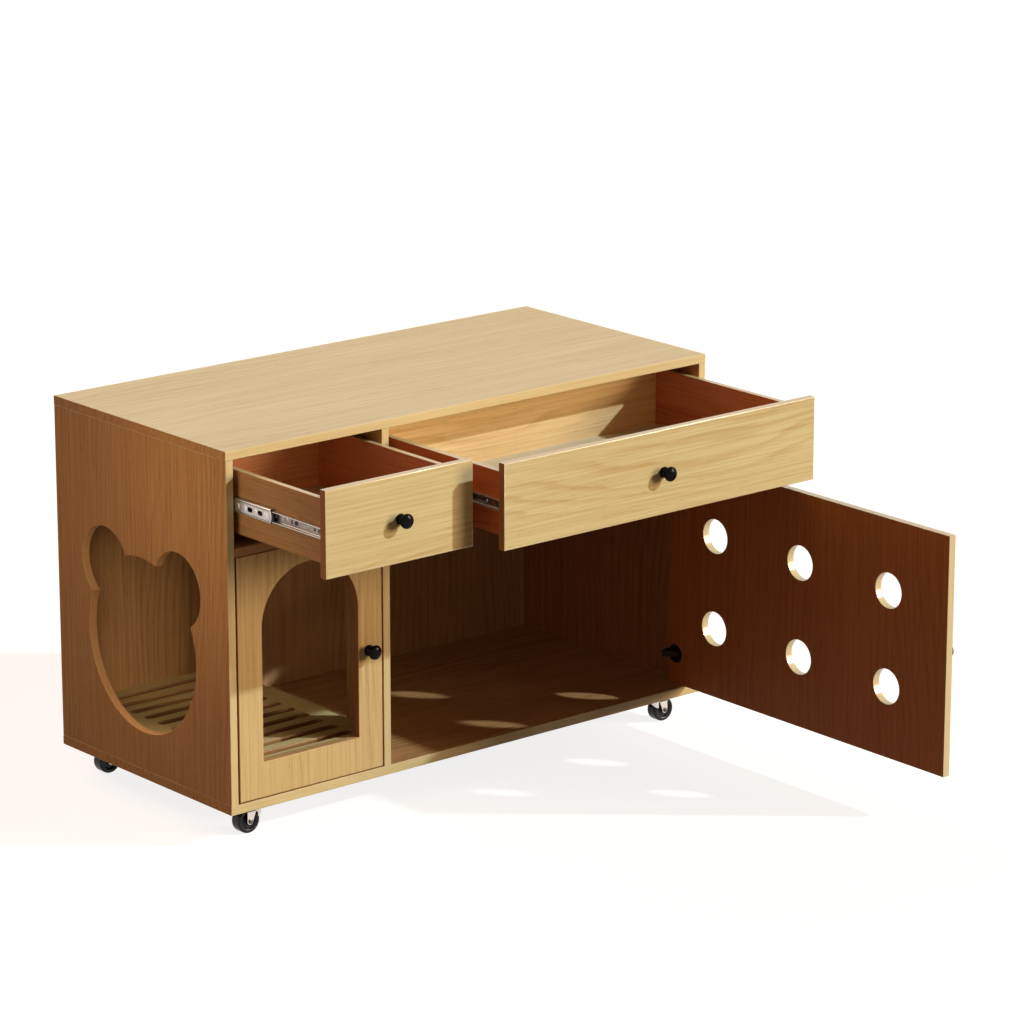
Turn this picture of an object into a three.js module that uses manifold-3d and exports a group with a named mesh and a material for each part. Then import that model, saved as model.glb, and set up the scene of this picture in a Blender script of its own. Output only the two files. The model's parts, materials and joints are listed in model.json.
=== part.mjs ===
// Cat litter cabinet on casters: two drawers over two bays, an arched door, a wide vented door and a slotted grate.
// Millimetres, +Z up. Pieces are laid out in cabinet coordinates: X from the left side, Y back from the front
// face and Z up from the floor. The doors, drawers and casters stand as they are in use: both drawers pulled out,
// the right door open and the left door shut. The last lines move the whole group so that its origin lies on the
// floor under the middle of everything.

import * as THREE from 'three';
import { mergeVertices } from 'three/addons/utils/BufferGeometryUtils.js';
import Module from 'manifold-3d';

const wasm = await Module();
wasm.setup();

// ---------------------------------------------------------------------------------------------------------------
// Driving dimensions
// ---------------------------------------------------------------------------------------------------------------

// Carcass
const cabinetWidth = 1200;
const cabinetDepth = 560;
const carcassHeight = 713;
const sideThickness = 17;
const topThickness = 18;
const bottomThickness = 19;
const backThickness = 15;
const dividerThickness = 17;
const shelfThickness = 17;
const leftBayWidth = 351.5;
const drawerBayHeight = 172;

// Entrance in the left side: a round head with two round ears
const entranceHeadRadius = 175.5;
const entranceEarRadius = 76;
const entranceEarSpread = 118;
const entranceEarRise = 136;
const entranceDepth = 282;
const entranceHeight = 252.7;

// Passage through the divider
const passageFront = 117.5;
const passageWidth = 325;
const passageTopMargin = 51;
const passageCornerRadius = 60;

// Doors
const doorThickness = 17;
const doorFreeGap = 3;
const doorHingeGap = 4;
const doorEndGap = 2;
const rightDoorOpening = 90;
const archWidth = 229;
const archSill = 70.5;
const archTopMargin = 36;
const ventHoleRadius = 35.6;
const ventColumns = 3;
const ventFreeEdgeMargin = 160.7;
const ventHingeEdgeMargin = 135.2;
const ventEndMargin = 144.25;

// Cup hinges
const cupEdgeMargin = 3;
const cupBoreRadius = 17.5;
const cupBoreDepth = 12.5;
const cupClearance = 0.3;
const cupWall = 1.2;
const cupFlange = 2;
const cupFlangeThickness = 1;
const pinFromCupCentre = 8;
const pinSink = 2.6;
const pinRadius = 1.5;
const pinClearance = 0.3;
const pinBite = 0.7;
const hingeEyeWall = 1.8;
const hingeArmWidth = 12;
const hingeArmThickness = 2.5;
const hingeArmClearance = 1;
const hingeArmLift = 135;
const hingeFootThickness = 3;
const hingeFootLength = 36;
const hingeFootHeight = 40;
const hingeFootLead = 0.5;
const leftHingeAboveGrate = 41.5;
const rightHingeFromDoorEnd = 64.5;

// Drawers
const smallDrawerPulled = 276;
const largeDrawerPulled = 340;
const drawerFrontThickness = 17;
const drawerFrontGap = 2.5;
const drawerFrontEndGap = 2;
const drawerSideThickness = 12;
const drawerSideRise = 26;
const drawerSideHeadroom = 23;
const drawerBoxLength = 436;
const drawerBottomThickness = 6;

// Drawer slides: an outer rail on the cabinet holds a middle rail, which holds the inner rail on the drawer
const slideRoom = 12.75;
const slideHeight = 35;
const slideLength = 450;
const slideSheet = 1.2;
const slideRunClearance = 0.3;
const slideSideClearance = 0.7;
const slideFrontGap = 1;
const outerRailLipInset = 3.1;
const middleRailRace = 3.9;
const middleRailEndInset = 10;

// Knobs: radius and distance from the face along a flared foot, a neck and a mushroom head
const knobProfile = [[0, 0], [11, 0], [11, 1.5], [8.4, 4.5], [6.5, 8], [8, 11.5], [13.2, 16], [14.5, 19], [13.4, 22],
  [9.2, 25.2], [0, 26.5]];
const knobSeat = 0.3;
const doorKnobFromFreeEdge = 33;

// Litter grate
const grateTop = 70.5;
const grateThickness = 15;
const grateFrontGap = 3;
const grateSideGap = 1;
const slotCount = 11;
const slotWidth = 19;
const slotEndMargin = 45;
const firstSlotMargin = 25;
const firstSlotCutback = 12;
const lastSlotMargin = 42;
const grateRailThickness = 15;
const grateRailHeight = 30;
const hingeNotchPastPin = 14;
const hingeNotchClearance = 1;

// Casters
const wheelRadius = 25;
const wheelWidth = 25;
const wheelShoulder = 5;
const wheelRecess = 3;
const wheelRimWidth = 7;
const axleRadius = 4;
const axleClearance = 0.2;
const axleHeadRadius = 5.5;
const axleHeadLength = 2;
const casterTrail = 18;
const forkLegThickness = 2.5;
const forkSideClearance = 1;
const forkEyeRadius = 6.8;
const forkLegFront = 6;
const forkLegBack = 16;
const forkCrownGap = 1;
const forkCrownThickness = 2.2;
const forkCrownRadius = 17;
const swivelClearance = 0.3;
const swivelRaceHeight = 4.3;
const swivelRaceChamfer = 1.5;
const kingpinRadius = 4;
const kingpinClearance = 0.2;
const kingpinHeadRadius = 6;
const kingpinHeadThickness = 1.4;
const casterPlateLength = 64;
const casterPlateWidth = 48;
const casterPlateThickness = 2.5;
const casterPlateCorner = 5;
const casterScrewRadius = 2.6;
const casterScrewInset = 7;
const casterInsetAcross = 87;
const casterInsetDeep = 50;
const casterHeadings = { front_left: 180, front_right: 0, rear_left: 180, rear_right: 0 };

// Facets round a full turn, and how far a cutting solid runs past what it cuts
const pinFacets = 10;
const roundFacets = 16;
const wheelFacets = 24;
const holeFacets = 32;
const entranceFacets = 64;
const cutOverrun = 1;

// ---------------------------------------------------------------------------------------------------------------
// Places worked out from the driving dimensions
// ---------------------------------------------------------------------------------------------------------------

const crownUnderside = 2 * wheelRadius + forkCrownGap;
const crownTop = crownUnderside + forkCrownThickness;
const casterPlateUnderside = crownTop + swivelRaceHeight;

const carcassBase = casterPlateUnderside + casterPlateThickness;
const carcassTop = carcassBase + carcassHeight;
const bayFloor = carcassBase + bottomThickness;
const drawerCeiling = carcassTop - topThickness;
const shelfTop = drawerCeiling - drawerBayHeight;
const shelfUnderside = shelfTop - shelfThickness;
const backInner = cabinetDepth - backThickness;

const leftBay = { from: sideThickness, to: sideThickness + leftBayWidth };
const rightBay = { from: leftBay.to + dividerThickness, to: cabinetWidth - sideThickness };

const grateSurface = bayFloor + grateTop;
const grateUnderside = grateSurface - grateThickness;

const doorBottom = bayFloor + doorEndGap;
const doorTop = shelfUnderside - doorEndGap;
const doorMiddle = (doorBottom + doorTop) / 2;

// A door's hinge and free edges when shut. side is +1 where the hinge wall is to its right and -1 to its left.
const leftDoor = { side: -1, wall: leftBay.from, hinge: leftBay.from + doorHingeGap, free: leftBay.to - doorFreeGap };
const rightDoor = { side: 1, wall: rightBay.to, hinge: rightBay.to - doorHingeGap, free: rightBay.from + doorFreeGap };
const pinDepth = doorThickness - pinSink;
const pinFromEdge = cupEdgeMargin + cupBoreRadius + pinFromCupCentre;
const cupCentre = (door) => door.hinge - door.side * (cupEdgeMargin + cupBoreRadius);
const pinAcross = (door) => door.hinge - door.side * pinFromEdge;

const leftHingeFromDoorEnd = grateSurface + leftHingeAboveGrate - doorBottom;
const leftHingeHeights = { lower: doorBottom + leftHingeFromDoorEnd, upper: doorTop - leftHingeFromDoorEnd };
const rightHingeHeights = { lower: doorBottom + rightHingeFromDoorEnd, upper: doorTop - rightHingeFromDoorEnd };

const slideCentre = shelfTop + drawerBayHeight / 2;

const degree = Math.PI / 180;

// ---------------------------------------------------------------------------------------------------------------
// Materials
// ---------------------------------------------------------------------------------------------------------------

const finish = (color, roughness, metalness) => new THREE.MeshStandardMaterial({ color, roughness, metalness });
const oak = finish(0xcda56b, 0.5, 0);
const oakDrawer = finish(0xb07a48, 0.55, 0);
const oakPale = finish(0xd9bd95, 0.6, 0);
const knobBlack = finish(0x0b0b0c, 0.15, 0);
const zincSteel = finish(0xb9bcc0, 0.35, 1);
const darkSteel = finish(0x3a3431, 0.4, 1);
const wheelBlack = finish(0x17181a, 0.3, 0);

// ---------------------------------------------------------------------------------------------------------------
// Solid helpers
// ---------------------------------------------------------------------------------------------------------------

// Makes a boolean solid from a closed geometry.
function solidFrom(geometry) {
  const bare = geometry.clone();
  bare.deleteAttribute('normal');
  bare.deleteAttribute('uv');
  const merged = mergeVertices(bare);
  return new wasm.Manifold(new wasm.Mesh({
    numProp: 3,
    vertProperties: new Float32Array(merged.attributes.position.array),
    triVerts: new Uint32Array(merged.index.array),
  }));
}

// Makes a geometry from a boolean solid.
function geometryFrom(solid) {
  const mesh = solid.getMesh();
  const geometry = new THREE.BufferGeometry();
  geometry.setAttribute('position', new THREE.BufferAttribute(new Float32Array(mesh.vertProperties), 3));
  geometry.setIndex(new THREE.BufferAttribute(new Uint32Array(mesh.triVerts), 1));
  geometry.computeVertexNormals();
  return geometry;
}

// Cuts every tool away from the body.
function cut(body, tools) {
  return geometryFrom(tools.reduce((solid, tool) => solid.subtract(solidFrom(tool)), solidFrom(body)));
}

// Joins the pieces into one solid.
function join(pieces) {
  return geometryFrom(pieces.map(solidFrom).reduce((solid, other) => solid.add(other)));
}

// A block between two corners.
function block(x0, x1, y0, y1, z0, z1) {
  const geometry = new THREE.BoxGeometry(x1 - x0, y1 - y0, z1 - z0);
  return geometry.translate((x0 + x1) / 2, (y0 + y1) / 2, (z0 + z1) / 2);
}

// Cylinders along each axis, between two places on it.
function rodAcross(radius, x0, x1, y, z, facets) {
  const geometry = new THREE.CylinderGeometry(radius, radius, x1 - x0, facets).rotateZ(-Math.PI / 2);
  return geometry.translate((x0 + x1) / 2, y, z);
}

function rodDeep(radius, x, y0, y1, z, facets) {
  return new THREE.CylinderGeometry(radius, radius, y1 - y0, facets).translate(x, (y0 + y1) / 2, z);
}

function rodUp(radius, x, y, z0, z1, facets) {
  const geometry = new THREE.CylinderGeometry(radius, radius, z1 - z0, facets).rotateX(Math.PI / 2);
  return geometry.translate(x, y, (z0 + z1) / 2);
}

// Extrudes an outline by a length along +Z. Each arc in it gets twice as many facets as arcSteps.
function extrude(outline, length, arcSteps) {
  return new THREE.ExtrudeGeometry(outline, { depth: length, bevelEnabled: false, curveSegments: arcSteps });
}

// Extrudes an outline drawn in X and Y from z0 up to z1.
function slabUp(outline, z0, z1, arcSteps = 1) {
  return extrude(outline, z1 - z0, arcSteps).translate(0, 0, z0);
}

// Extrudes an outline drawn in X and Z from y0 back to y1.
function slabDeep(outline, y0, y1, arcSteps = 1) {
  return extrude(outline, y1 - y0, arcSteps).rotateX(Math.PI / 2).translate(0, y1, 0);
}

// Extrudes an outline drawn in Y and Z from x0 across to x1.
function slabAcross(outline, x0, x1, arcSteps = 1) {
  const along = [new THREE.Vector3(0, 1, 0), new THREE.Vector3(0, 0, 1), new THREE.Vector3(1, 0, 0)];
  const turn = new THREE.Matrix4().makeBasis(...along);
  return extrude(outline, x1 - x0, arcSteps).applyMatrix4(turn).translate(x0, 0, 0);
}

const points = (pairs) => pairs.map(([x, y]) => new THREE.Vector2(x, y));

// Turns a closed profile of radius and height round the Y axis.
function turned(profile, facets) {
  return new THREE.LatheGeometry(points(profile), facets);
}

function piece(name, geometry, material) {
  const mesh = new THREE.Mesh(geometry, material);
  mesh.name = name;
  return mesh;
}

function group(...members) {
  return new THREE.Group().add(...members);
}

// ---------------------------------------------------------------------------------------------------------------
// Carcass
// ---------------------------------------------------------------------------------------------------------------

function leftSidePanel() {
  const panel = block(0, sideThickness, 0, cabinetDepth, bayFloor, drawerCeiling);
  const headCentre = bayFloor + entranceHeight;
  const earCentre = headCentre + entranceEarRise;
  const hole = (radius, y, z) => rodAcross(radius, -cutOverrun, sideThickness + cutOverrun, y, z, entranceFacets);
  return cut(panel, [
    hole(entranceHeadRadius, entranceDepth, headCentre),
    hole(entranceEarRadius, entranceDepth - entranceEarSpread, earCentre),
    hole(entranceEarRadius, entranceDepth + entranceEarSpread, earCentre),
  ]);
}

function dividerPanel() {
  const front = passageFront;
  const back = passageFront + passageWidth;
  const sill = grateUnderside;
  const top = shelfUnderside - passageTopMargin;
  const corner = passageCornerRadius;
  const passage = new THREE.Shape();
  passage.moveTo(front, sill);
  passage.lineTo(back, sill);
  passage.absarc(back - corner, top - corner, corner, 0, Math.PI / 2);
  passage.absarc(front + corner, top - corner, corner, Math.PI / 2, Math.PI);
  passage.closePath();
  const panel = block(leftBay.to, rightBay.from, 0, backInner, bayFloor, drawerCeiling);
  return cut(panel, [slabAcross(passage, leftBay.to - cutOverrun, rightBay.from + cutOverrun, roundFacets / 4)]);
}

function carcass() {
  const farSide = cabinetWidth - sideThickness;
  const shelf = (bay) => block(bay.from, bay.to, 0, backInner, shelfUnderside, shelfTop);
  return group(
    piece('top_panel', block(0, cabinetWidth, 0, cabinetDepth, drawerCeiling, carcassTop), oak),
    piece('bottom_panel', block(0, cabinetWidth, 0, cabinetDepth, carcassBase, bayFloor), oak),
    piece('left_side_panel', leftSidePanel(), oak),
    piece('right_side_panel', block(farSide, cabinetWidth, 0, cabinetDepth, bayFloor, drawerCeiling), oak),
    piece('back_panel', block(leftBay.from, rightBay.to, backInner, cabinetDepth, bayFloor, drawerCeiling), oak),
    piece('divider_panel', dividerPanel(), oak),
    piece('left_shelf', shelf(leftBay), oak),
    piece('right_shelf', shelf(rightBay), oak),
  );
}

// ---------------------------------------------------------------------------------------------------------------
// Litter grate on two rails in the left bay
// ---------------------------------------------------------------------------------------------------------------

// The front left corner is notched for the hinge edge of the door, which swings in behind its pin.
const grateFront = doorThickness + grateFrontGap;
const notchBack = pinDepth + Math.hypot(pinFromEdge, pinDepth) + hingeNotchClearance;
const notchRight = pinAcross(leftDoor) + hingeNotchPastPin;

function litterGrate() {
  const left = leftBay.from + grateSideGap;
  const right = leftBay.to - grateSideGap;
  const outline = new THREE.Shape(points([
    [notchRight, grateFront],
    [right, grateFront],
    [right, backInner],
    [left, backInner],
    [left, notchBack],
    [notchRight, notchBack],
  ]));
  const radius = slotWidth / 2;
  const slotLeft = left + slotEndMargin + radius;
  const slotRight = right - slotEndMargin - radius;
  const firstSlot = grateFront + firstSlotMargin;
  const lastSlot = backInner - lastSlotMargin;
  for (let i = 0; i < slotCount; i += 1) {
    const y = firstSlot + (lastSlot - firstSlot) * i / (slotCount - 1);
    const start = i === 0 ? slotLeft + firstSlotCutback : slotLeft;
    const slot = new THREE.Path();
    slot.absarc(start, y, radius, Math.PI / 2, 1.5 * Math.PI);
    slot.absarc(slotRight, y, radius, -Math.PI / 2, Math.PI / 2);
    slot.closePath();
    outline.holes.push(slot);
  }
  return slabUp(outline, grateUnderside, grateSurface, roundFacets / 4);
}

function grate() {
  const railBottom = grateUnderside - grateRailHeight;
  const railOn = (x, front) => block(x, x + grateRailThickness, front, backInner, railBottom, grateUnderside);
  return group(
    piece('litter_grate', litterGrate(), oak),
    piece('left_grate_rail', railOn(leftBay.from, notchBack), oak),
    piece('right_grate_rail', railOn(leftBay.to - grateRailThickness, grateFront), oak),
  );
}

// ---------------------------------------------------------------------------------------------------------------
// Knobs: the axis runs forward along -Y from a front face at Y = 0
// ---------------------------------------------------------------------------------------------------------------

function knob(x, z) {
  return turned(knobProfile, roundFacets).rotateX(Math.PI).translate(x, -knobSeat, z);
}

// ---------------------------------------------------------------------------------------------------------------
// Cup hinges, drawn with the door shut
// ---------------------------------------------------------------------------------------------------------------

function cupBore(door, z) {
  const floor = doorThickness - cupBoreDepth;
  return rodDeep(cupBoreRadius, cupCentre(door), floor, doorThickness + cutOverrun, z, roundFacets);
}

// A drawn steel cup with a flange over the rim of its bore and a pin across it for the arm.
function hingeCup(door, z) {
  const outer = cupBoreRadius - cupClearance;
  const inner = outer - cupWall;
  const underside = doorThickness - cupBoreDepth + cupClearance;
  const rim = doorThickness + cupClearance;
  const cup = turned([
    [0, underside],
    [outer, underside],
    [outer, rim],
    [cupBoreRadius + cupFlange, rim],
    [cupBoreRadius + cupFlange, rim + cupFlangeThickness],
    [inner, rim + cupFlangeThickness],
    [inner, underside + cupWall],
    [0, underside + cupWall],
  ], roundFacets).translate(cupCentre(door), 0, z);
  const pinReach = Math.sqrt((inner + pinBite) ** 2 - (pinFromCupCentre + pinRadius) ** 2);
  return join([cup, rodUp(pinRadius, pinAcross(door), pinDepth, z - pinReach, z + pinReach, pinFacets)]);
}

// The arm: an eye round the pin, a strap out of the cup, a curve past the edge of the door and a foot on the wall.
function hingeArm(door, z) {
  const bore = pinRadius + pinClearance;
  const eye = bore + hingeEyeWall;
  const inner = Math.hypot(pinFromEdge, pinDepth) + hingeArmClearance;
  const outer = inner + hingeArmThickness;
  const pinFromWall = pinFromEdge + doorHingeGap;
  const lift = hingeArmLift * degree;
  const end = Math.acos((pinFromWall - hingeFootThickness / 2) / ((inner + outer) / 2));
  const strapHalf = (radius) => Math.asin(hingeArmThickness / 2 / radius);
  const outline = new THREE.Shape();
  outline.absarc(0, 0, eye, lift + strapHalf(eye), lift - strapHalf(eye) + 2 * Math.PI);
  outline.absarc(0, 0, inner, lift - strapHalf(inner), end, true);
  outline.absarc(0, 0, outer, end, lift + strapHalf(outer));
  outline.closePath();
  const hole = new THREE.Path();
  hole.absarc(0, 0, bore, 0, 2 * Math.PI, true);
  outline.holes.push(hole);
  const halfWidth = hingeArmWidth / 2;
  const footFront = inner * Math.sin(end) - hingeFootLead;
  const foot = block(pinFromWall - hingeFootThickness, pinFromWall, footFront, footFront + hingeFootLength,
    -hingeFootHeight / 2, hingeFootHeight / 2);
  const arm = join([slabUp(outline, -halfWidth, halfWidth, roundFacets / 2), foot]);
  const facing = door.side > 0 ? arm : arm.rotateY(Math.PI);
  return facing.translate(pinAcross(door), pinDepth, z);
}

// ---------------------------------------------------------------------------------------------------------------
// Doors, drawn shut and turned about their hinge pins
// ---------------------------------------------------------------------------------------------------------------

function leftDoorBoard() {
  const centre = (leftBay.from + leftBay.to) / 2;
  const radius = archWidth / 2;
  const sill = doorBottom + archSill;
  const spring = doorTop - archTopMargin - radius;
  const board = new THREE.Shape(points([
    [leftDoor.hinge, doorBottom],
    [leftDoor.free, doorBottom],
    [leftDoor.free, doorTop],
    [leftDoor.hinge, doorTop],
  ]));
  const arch = new THREE.Path();
  arch.moveTo(centre - radius, sill);
  arch.lineTo(centre + radius, sill);
  arch.absarc(centre, spring, radius, 0, Math.PI);
  arch.closePath();
  board.holes.push(arch);
  const bores = Object.values(leftHingeHeights).map((z) => cupBore(leftDoor, z));
  return cut(slabDeep(board, 0, doorThickness, holeFacets / 2), bores);
}

function rightDoorBoard() {
  const board = block(rightDoor.free, rightDoor.hinge, 0, doorThickness, doorBottom, doorTop);
  const tools = Object.values(rightHingeHeights).map((z) => cupBore(rightDoor, z));
  const first = rightDoor.free + ventFreeEdgeMargin;
  const last = rightDoor.hinge - ventHingeEdgeMargin;
  for (let column = 0; column < ventColumns; column += 1) {
    const x = first + (last - first) * column / (ventColumns - 1);
    for (const z of [doorBottom + ventEndMargin, doorTop - ventEndMargin]) {
      tools.push(rodDeep(ventHoleRadius, x, -cutOverrun, doorThickness + cutOverrun, z, holeFacets));
    }
  }
  return cut(board, tools);
}

function doorAssembly(label, door, board, heights, opening) {
  const doorKnob = knob(door.free + door.side * doorKnobFromFreeEdge, doorMiddle);
  const shut = group(piece(`${label}_door`, board, oak), piece(`${label}_door_knob`, doorKnob, knobBlack));
  const assembly = new THREE.Group();
  for (const [level, z] of Object.entries(heights)) {
    shut.add(piece(`${label}_door_${level}_hinge_cup`, hingeCup(door, z), darkSteel));
    assembly.add(piece(`${label}_door_${level}_hinge_arm`, hingeArm(door, z), darkSteel));
  }
  shut.position.set(-pinAcross(door), -pinDepth, 0);
  const leaf = group(shut);
  leaf.position.set(pinAcross(door), pinDepth, 0);
  leaf.rotation.z = door.side * opening * degree;
  return assembly.add(leaf);
}

// ---------------------------------------------------------------------------------------------------------------
// Drawers and their slides. side is +1 for a slide on the left wall of the bay and -1 for one on the right wall.
// ---------------------------------------------------------------------------------------------------------------

// A C-shaped rail. web and lip are the distances from the wall to the back of its web and to its open edge, and
// race is the thickness of its two flanges.
function rail(wall, side, height, web, lip, race, y0, y1) {
  const sheet = Math.sign(lip - web) * slideSheet;
  const x = (distance) => wall + side * distance;
  const top = slideCentre + height / 2;
  const bottom = slideCentre - height / 2;
  return slabDeep(new THREE.Shape(points([
    [x(web), bottom],
    [x(lip), bottom],
    [x(lip), bottom + race],
    [x(web + sheet), bottom + race],
    [x(web + sheet), top - race],
    [x(lip), top - race],
    [x(lip), top],
    [x(web), top],
  ])), y0, y1);
}

const outerRailFront = drawerFrontThickness + slideFrontGap;
const middleRailWeb = slideSheet + slideSideClearance;
const middleRailHeight = slideHeight - 2 * (slideSheet + slideRunClearance);
const innerRailHeight = middleRailHeight - 2 * (middleRailRace + slideRunClearance);

function outerRail(wall, side) {
  return rail(wall, side, slideHeight, 0, slideRoom - outerRailLipInset, slideSheet,
    outerRailFront, outerRailFront + slideLength);
}

function middleRail(wall, side) {
  return rail(wall, side, middleRailHeight, middleRailWeb, slideRoom - middleRailWeb, middleRailRace,
    outerRailFront + middleRailEndInset, outerRailFront + slideLength - middleRailEndInset);
}

function innerRail(wall, side) {
  return rail(wall, side, innerRailHeight, slideRoom, middleRailWeb + slideSheet + slideSideClearance, slideSheet,
    drawerFrontThickness, drawerFrontThickness + drawerBoxLength);
}

function drawer(label, bay, pulled) {
  const name = (part) => `${label}_drawer_${part}`;
  const left = bay.from + slideRoom;
  const right = bay.to - slideRoom;
  const insideLeft = left + drawerSideThickness;
  const insideRight = right - drawerSideThickness;
  const front = drawerFrontThickness;
  const back = front + drawerBoxLength;
  const insideBack = back - drawerSideThickness;
  const bottom = shelfTop + drawerSideRise;
  const top = drawerCeiling - drawerSideHeadroom;
  const floor = bottom + drawerBottomThickness;
  const box = group(
    piece(name('front'), block(bay.from + drawerFrontGap, bay.to - drawerFrontGap, 0, front,
      shelfTop + drawerFrontEndGap, drawerCeiling - drawerFrontEndGap), oak),
    piece(name('left_side'), block(left, insideLeft, front, back, bottom, top), oakDrawer),
    piece(name('right_side'), block(insideRight, right, front, back, bottom, top), oakDrawer),
    piece(name('back'), block(insideLeft, insideRight, insideBack, back, bottom, top), oakDrawer),
    piece(name('bottom'), block(insideLeft, insideRight, front, insideBack, bottom, floor), oakPale),
    piece(name('knob'), knob((bay.from + bay.to) / 2, slideCentre), knobBlack),
    piece(name('left_inner_rail'), innerRail(bay.from, 1), zincSteel),
    piece(name('right_inner_rail'), innerRail(bay.to, -1), zincSteel),
  );
  box.position.y = -pulled;
  const middles = group(
    piece(name('left_middle_rail'), middleRail(bay.from, 1), zincSteel),
    piece(name('right_middle_rail'), middleRail(bay.to, -1), zincSteel),
  );
  middles.position.y = -pulled / 2;
  return group(
    box,
    middles,
    piece(name('left_outer_rail'), outerRail(bay.from, 1), zincSteel),
    piece(name('right_outer_rail'), outerRail(bay.to, -1), zincSteel),
  );
}

// ---------------------------------------------------------------------------------------------------------------
// Casters. Each is drawn about its swivel axis with the wheel trailing along +X.
// ---------------------------------------------------------------------------------------------------------------

// The mounting plate with its four screw holes, the swivel race under it and the kingpin through the fork.
function casterPlate() {
  const cornerX = casterPlateLength / 2 - casterPlateCorner;
  const cornerY = casterPlateWidth / 2 - casterPlateCorner;
  const outline = new THREE.Shape();
  [[1, 1], [-1, 1], [-1, -1], [1, -1]].forEach(([across, deep], quarter) => {
    const start = quarter * Math.PI / 2;
    outline.absarc(across * cornerX, deep * cornerY, casterPlateCorner, start, start + Math.PI / 2);
    const hole = new THREE.Path();
    const x = across * (casterPlateLength / 2 - casterScrewInset);
    const y = deep * (casterPlateWidth / 2 - casterScrewInset);
    hole.absarc(x, y, casterScrewRadius, 0, 2 * Math.PI, true);
    outline.holes.push(hole);
  });
  outline.closePath();
  const seat = casterPlateUnderside + casterPlateThickness / 2;
  const raceBottom = crownTop + swivelClearance;
  const headTop = crownUnderside - swivelClearance;
  const race = turned([
    [0, seat],
    [0, headTop - kingpinHeadThickness],
    [kingpinHeadRadius, headTop - kingpinHeadThickness],
    [kingpinHeadRadius, headTop],
    [kingpinRadius, headTop],
    [kingpinRadius, raceBottom],
    [forkCrownRadius - swivelRaceChamfer, raceBottom],
    [forkCrownRadius, raceBottom + swivelRaceChamfer],
    [forkCrownRadius, seat],
    [0, seat],
  ], roundFacets).rotateX(Math.PI / 2);
  return join([slabUp(outline, casterPlateUnderside, carcassBase, roundFacets / 8), race]);
}

// The fork: a round crown with two legs down to the axle, whose ends are peened over outside the legs.
function casterFork() {
  const legInner = wheelWidth / 2 + forkSideClearance;
  const legOuter = legInner + forkLegThickness;
  const headEnd = legOuter + axleHeadLength;
  const legEnd = casterTrail + forkLegFront;
  const leg = new THREE.Shape();
  leg.moveTo(legEnd, crownTop);
  leg.lineTo(casterTrail - forkLegBack, crownTop);
  leg.absarc(casterTrail, wheelRadius, forkEyeRadius, Math.PI, 2 * Math.PI);
  leg.closePath();
  const fork = join([
    rodUp(forkCrownRadius, 0, 0, crownUnderside, crownTop, roundFacets),
    block(0, legEnd, -legOuter, legOuter, crownUnderside, crownTop),
    slabDeep(leg, -legOuter, -legInner, roundFacets / 4),
    slabDeep(leg, legInner, legOuter, roundFacets / 4),
    rodDeep(axleRadius, casterTrail, -legOuter, legOuter, wheelRadius, roundFacets),
    rodDeep(axleHeadRadius, casterTrail, -headEnd, -legOuter, wheelRadius, roundFacets),
    rodDeep(axleHeadRadius, casterTrail, legOuter, headEnd, wheelRadius, roundFacets),
  ]);
  const bore = rodUp(kingpinRadius + kingpinClearance, 0, 0, crownUnderside - cutOverrun, crownTop + cutOverrun,
    roundFacets);
  return cut(fork, [bore]);
}

function casterWheel() {
  const half = wheelWidth / 2;
  const bore = axleRadius + axleClearance;
  const recess = half - wheelRecess;
  const rim = wheelRadius - wheelRimWidth;
  const nearSide = [
    [wheelRadius, half - wheelShoulder],
    [wheelRadius - wheelShoulder, half],
    [rim, half],
    [rim - wheelRecess, recess],
    [bore, recess],
  ];
  const farSide = nearSide.map(([radius, height]) => [radius, -height]).reverse();
  return turned([...nearSide, ...farSide, nearSide[0]], wheelFacets).translate(casterTrail, 0, wheelRadius);
}

function caster(label, heading) {
  const swivel = group(
    piece(`${label}_caster_fork`, casterFork(), zincSteel),
    piece(`${label}_caster_wheel`, casterWheel(), wheelBlack),
  );
  swivel.rotation.z = heading * degree;
  const whole = group(piece(`${label}_caster_plate`, casterPlate(), zincSteel), swivel);
  const x = label.endsWith('left') ? casterInsetAcross : cabinetWidth - casterInsetAcross;
  const y = label.startsWith('front') ? casterInsetDeep : cabinetDepth - casterInsetDeep;
  whole.position.set(x, y, 0);
  return whole;
}

// ---------------------------------------------------------------------------------------------------------------
// Assembly
// ---------------------------------------------------------------------------------------------------------------

const cabinet = group(
  carcass(),
  grate(),
  doorAssembly('left', leftDoor, leftDoorBoard(), leftHingeHeights, 0),
  doorAssembly('right', rightDoor, rightDoorBoard(), rightHingeHeights, rightDoorOpening),
  drawer('small', leftBay, smallDrawerPulled),
  drawer('large', rightBay, largeDrawerPulled),
  ...Object.entries(casterHeadings).map(([label, heading]) => caster(label, heading)),
);

// The open right door reaches furthest forward.
const doorReach = pinAcross(rightDoor) - rightDoor.free;
const frontmost = pinDepth - doorReach * Math.sin(rightDoorOpening * degree);
cabinet.position.set(-cabinetWidth / 2, -(frontmost + cabinetDepth) / 2, 0);

export default cabinet;
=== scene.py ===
"""Dresses the cat litter cabinet: laminated boards, drawer slides, cup hinges, knobs and casters."""

import itertools
import json
import math

import bpy
from mathutils import Matrix, Vector
from mathutils.geometry import tessellate_polygon


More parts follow.
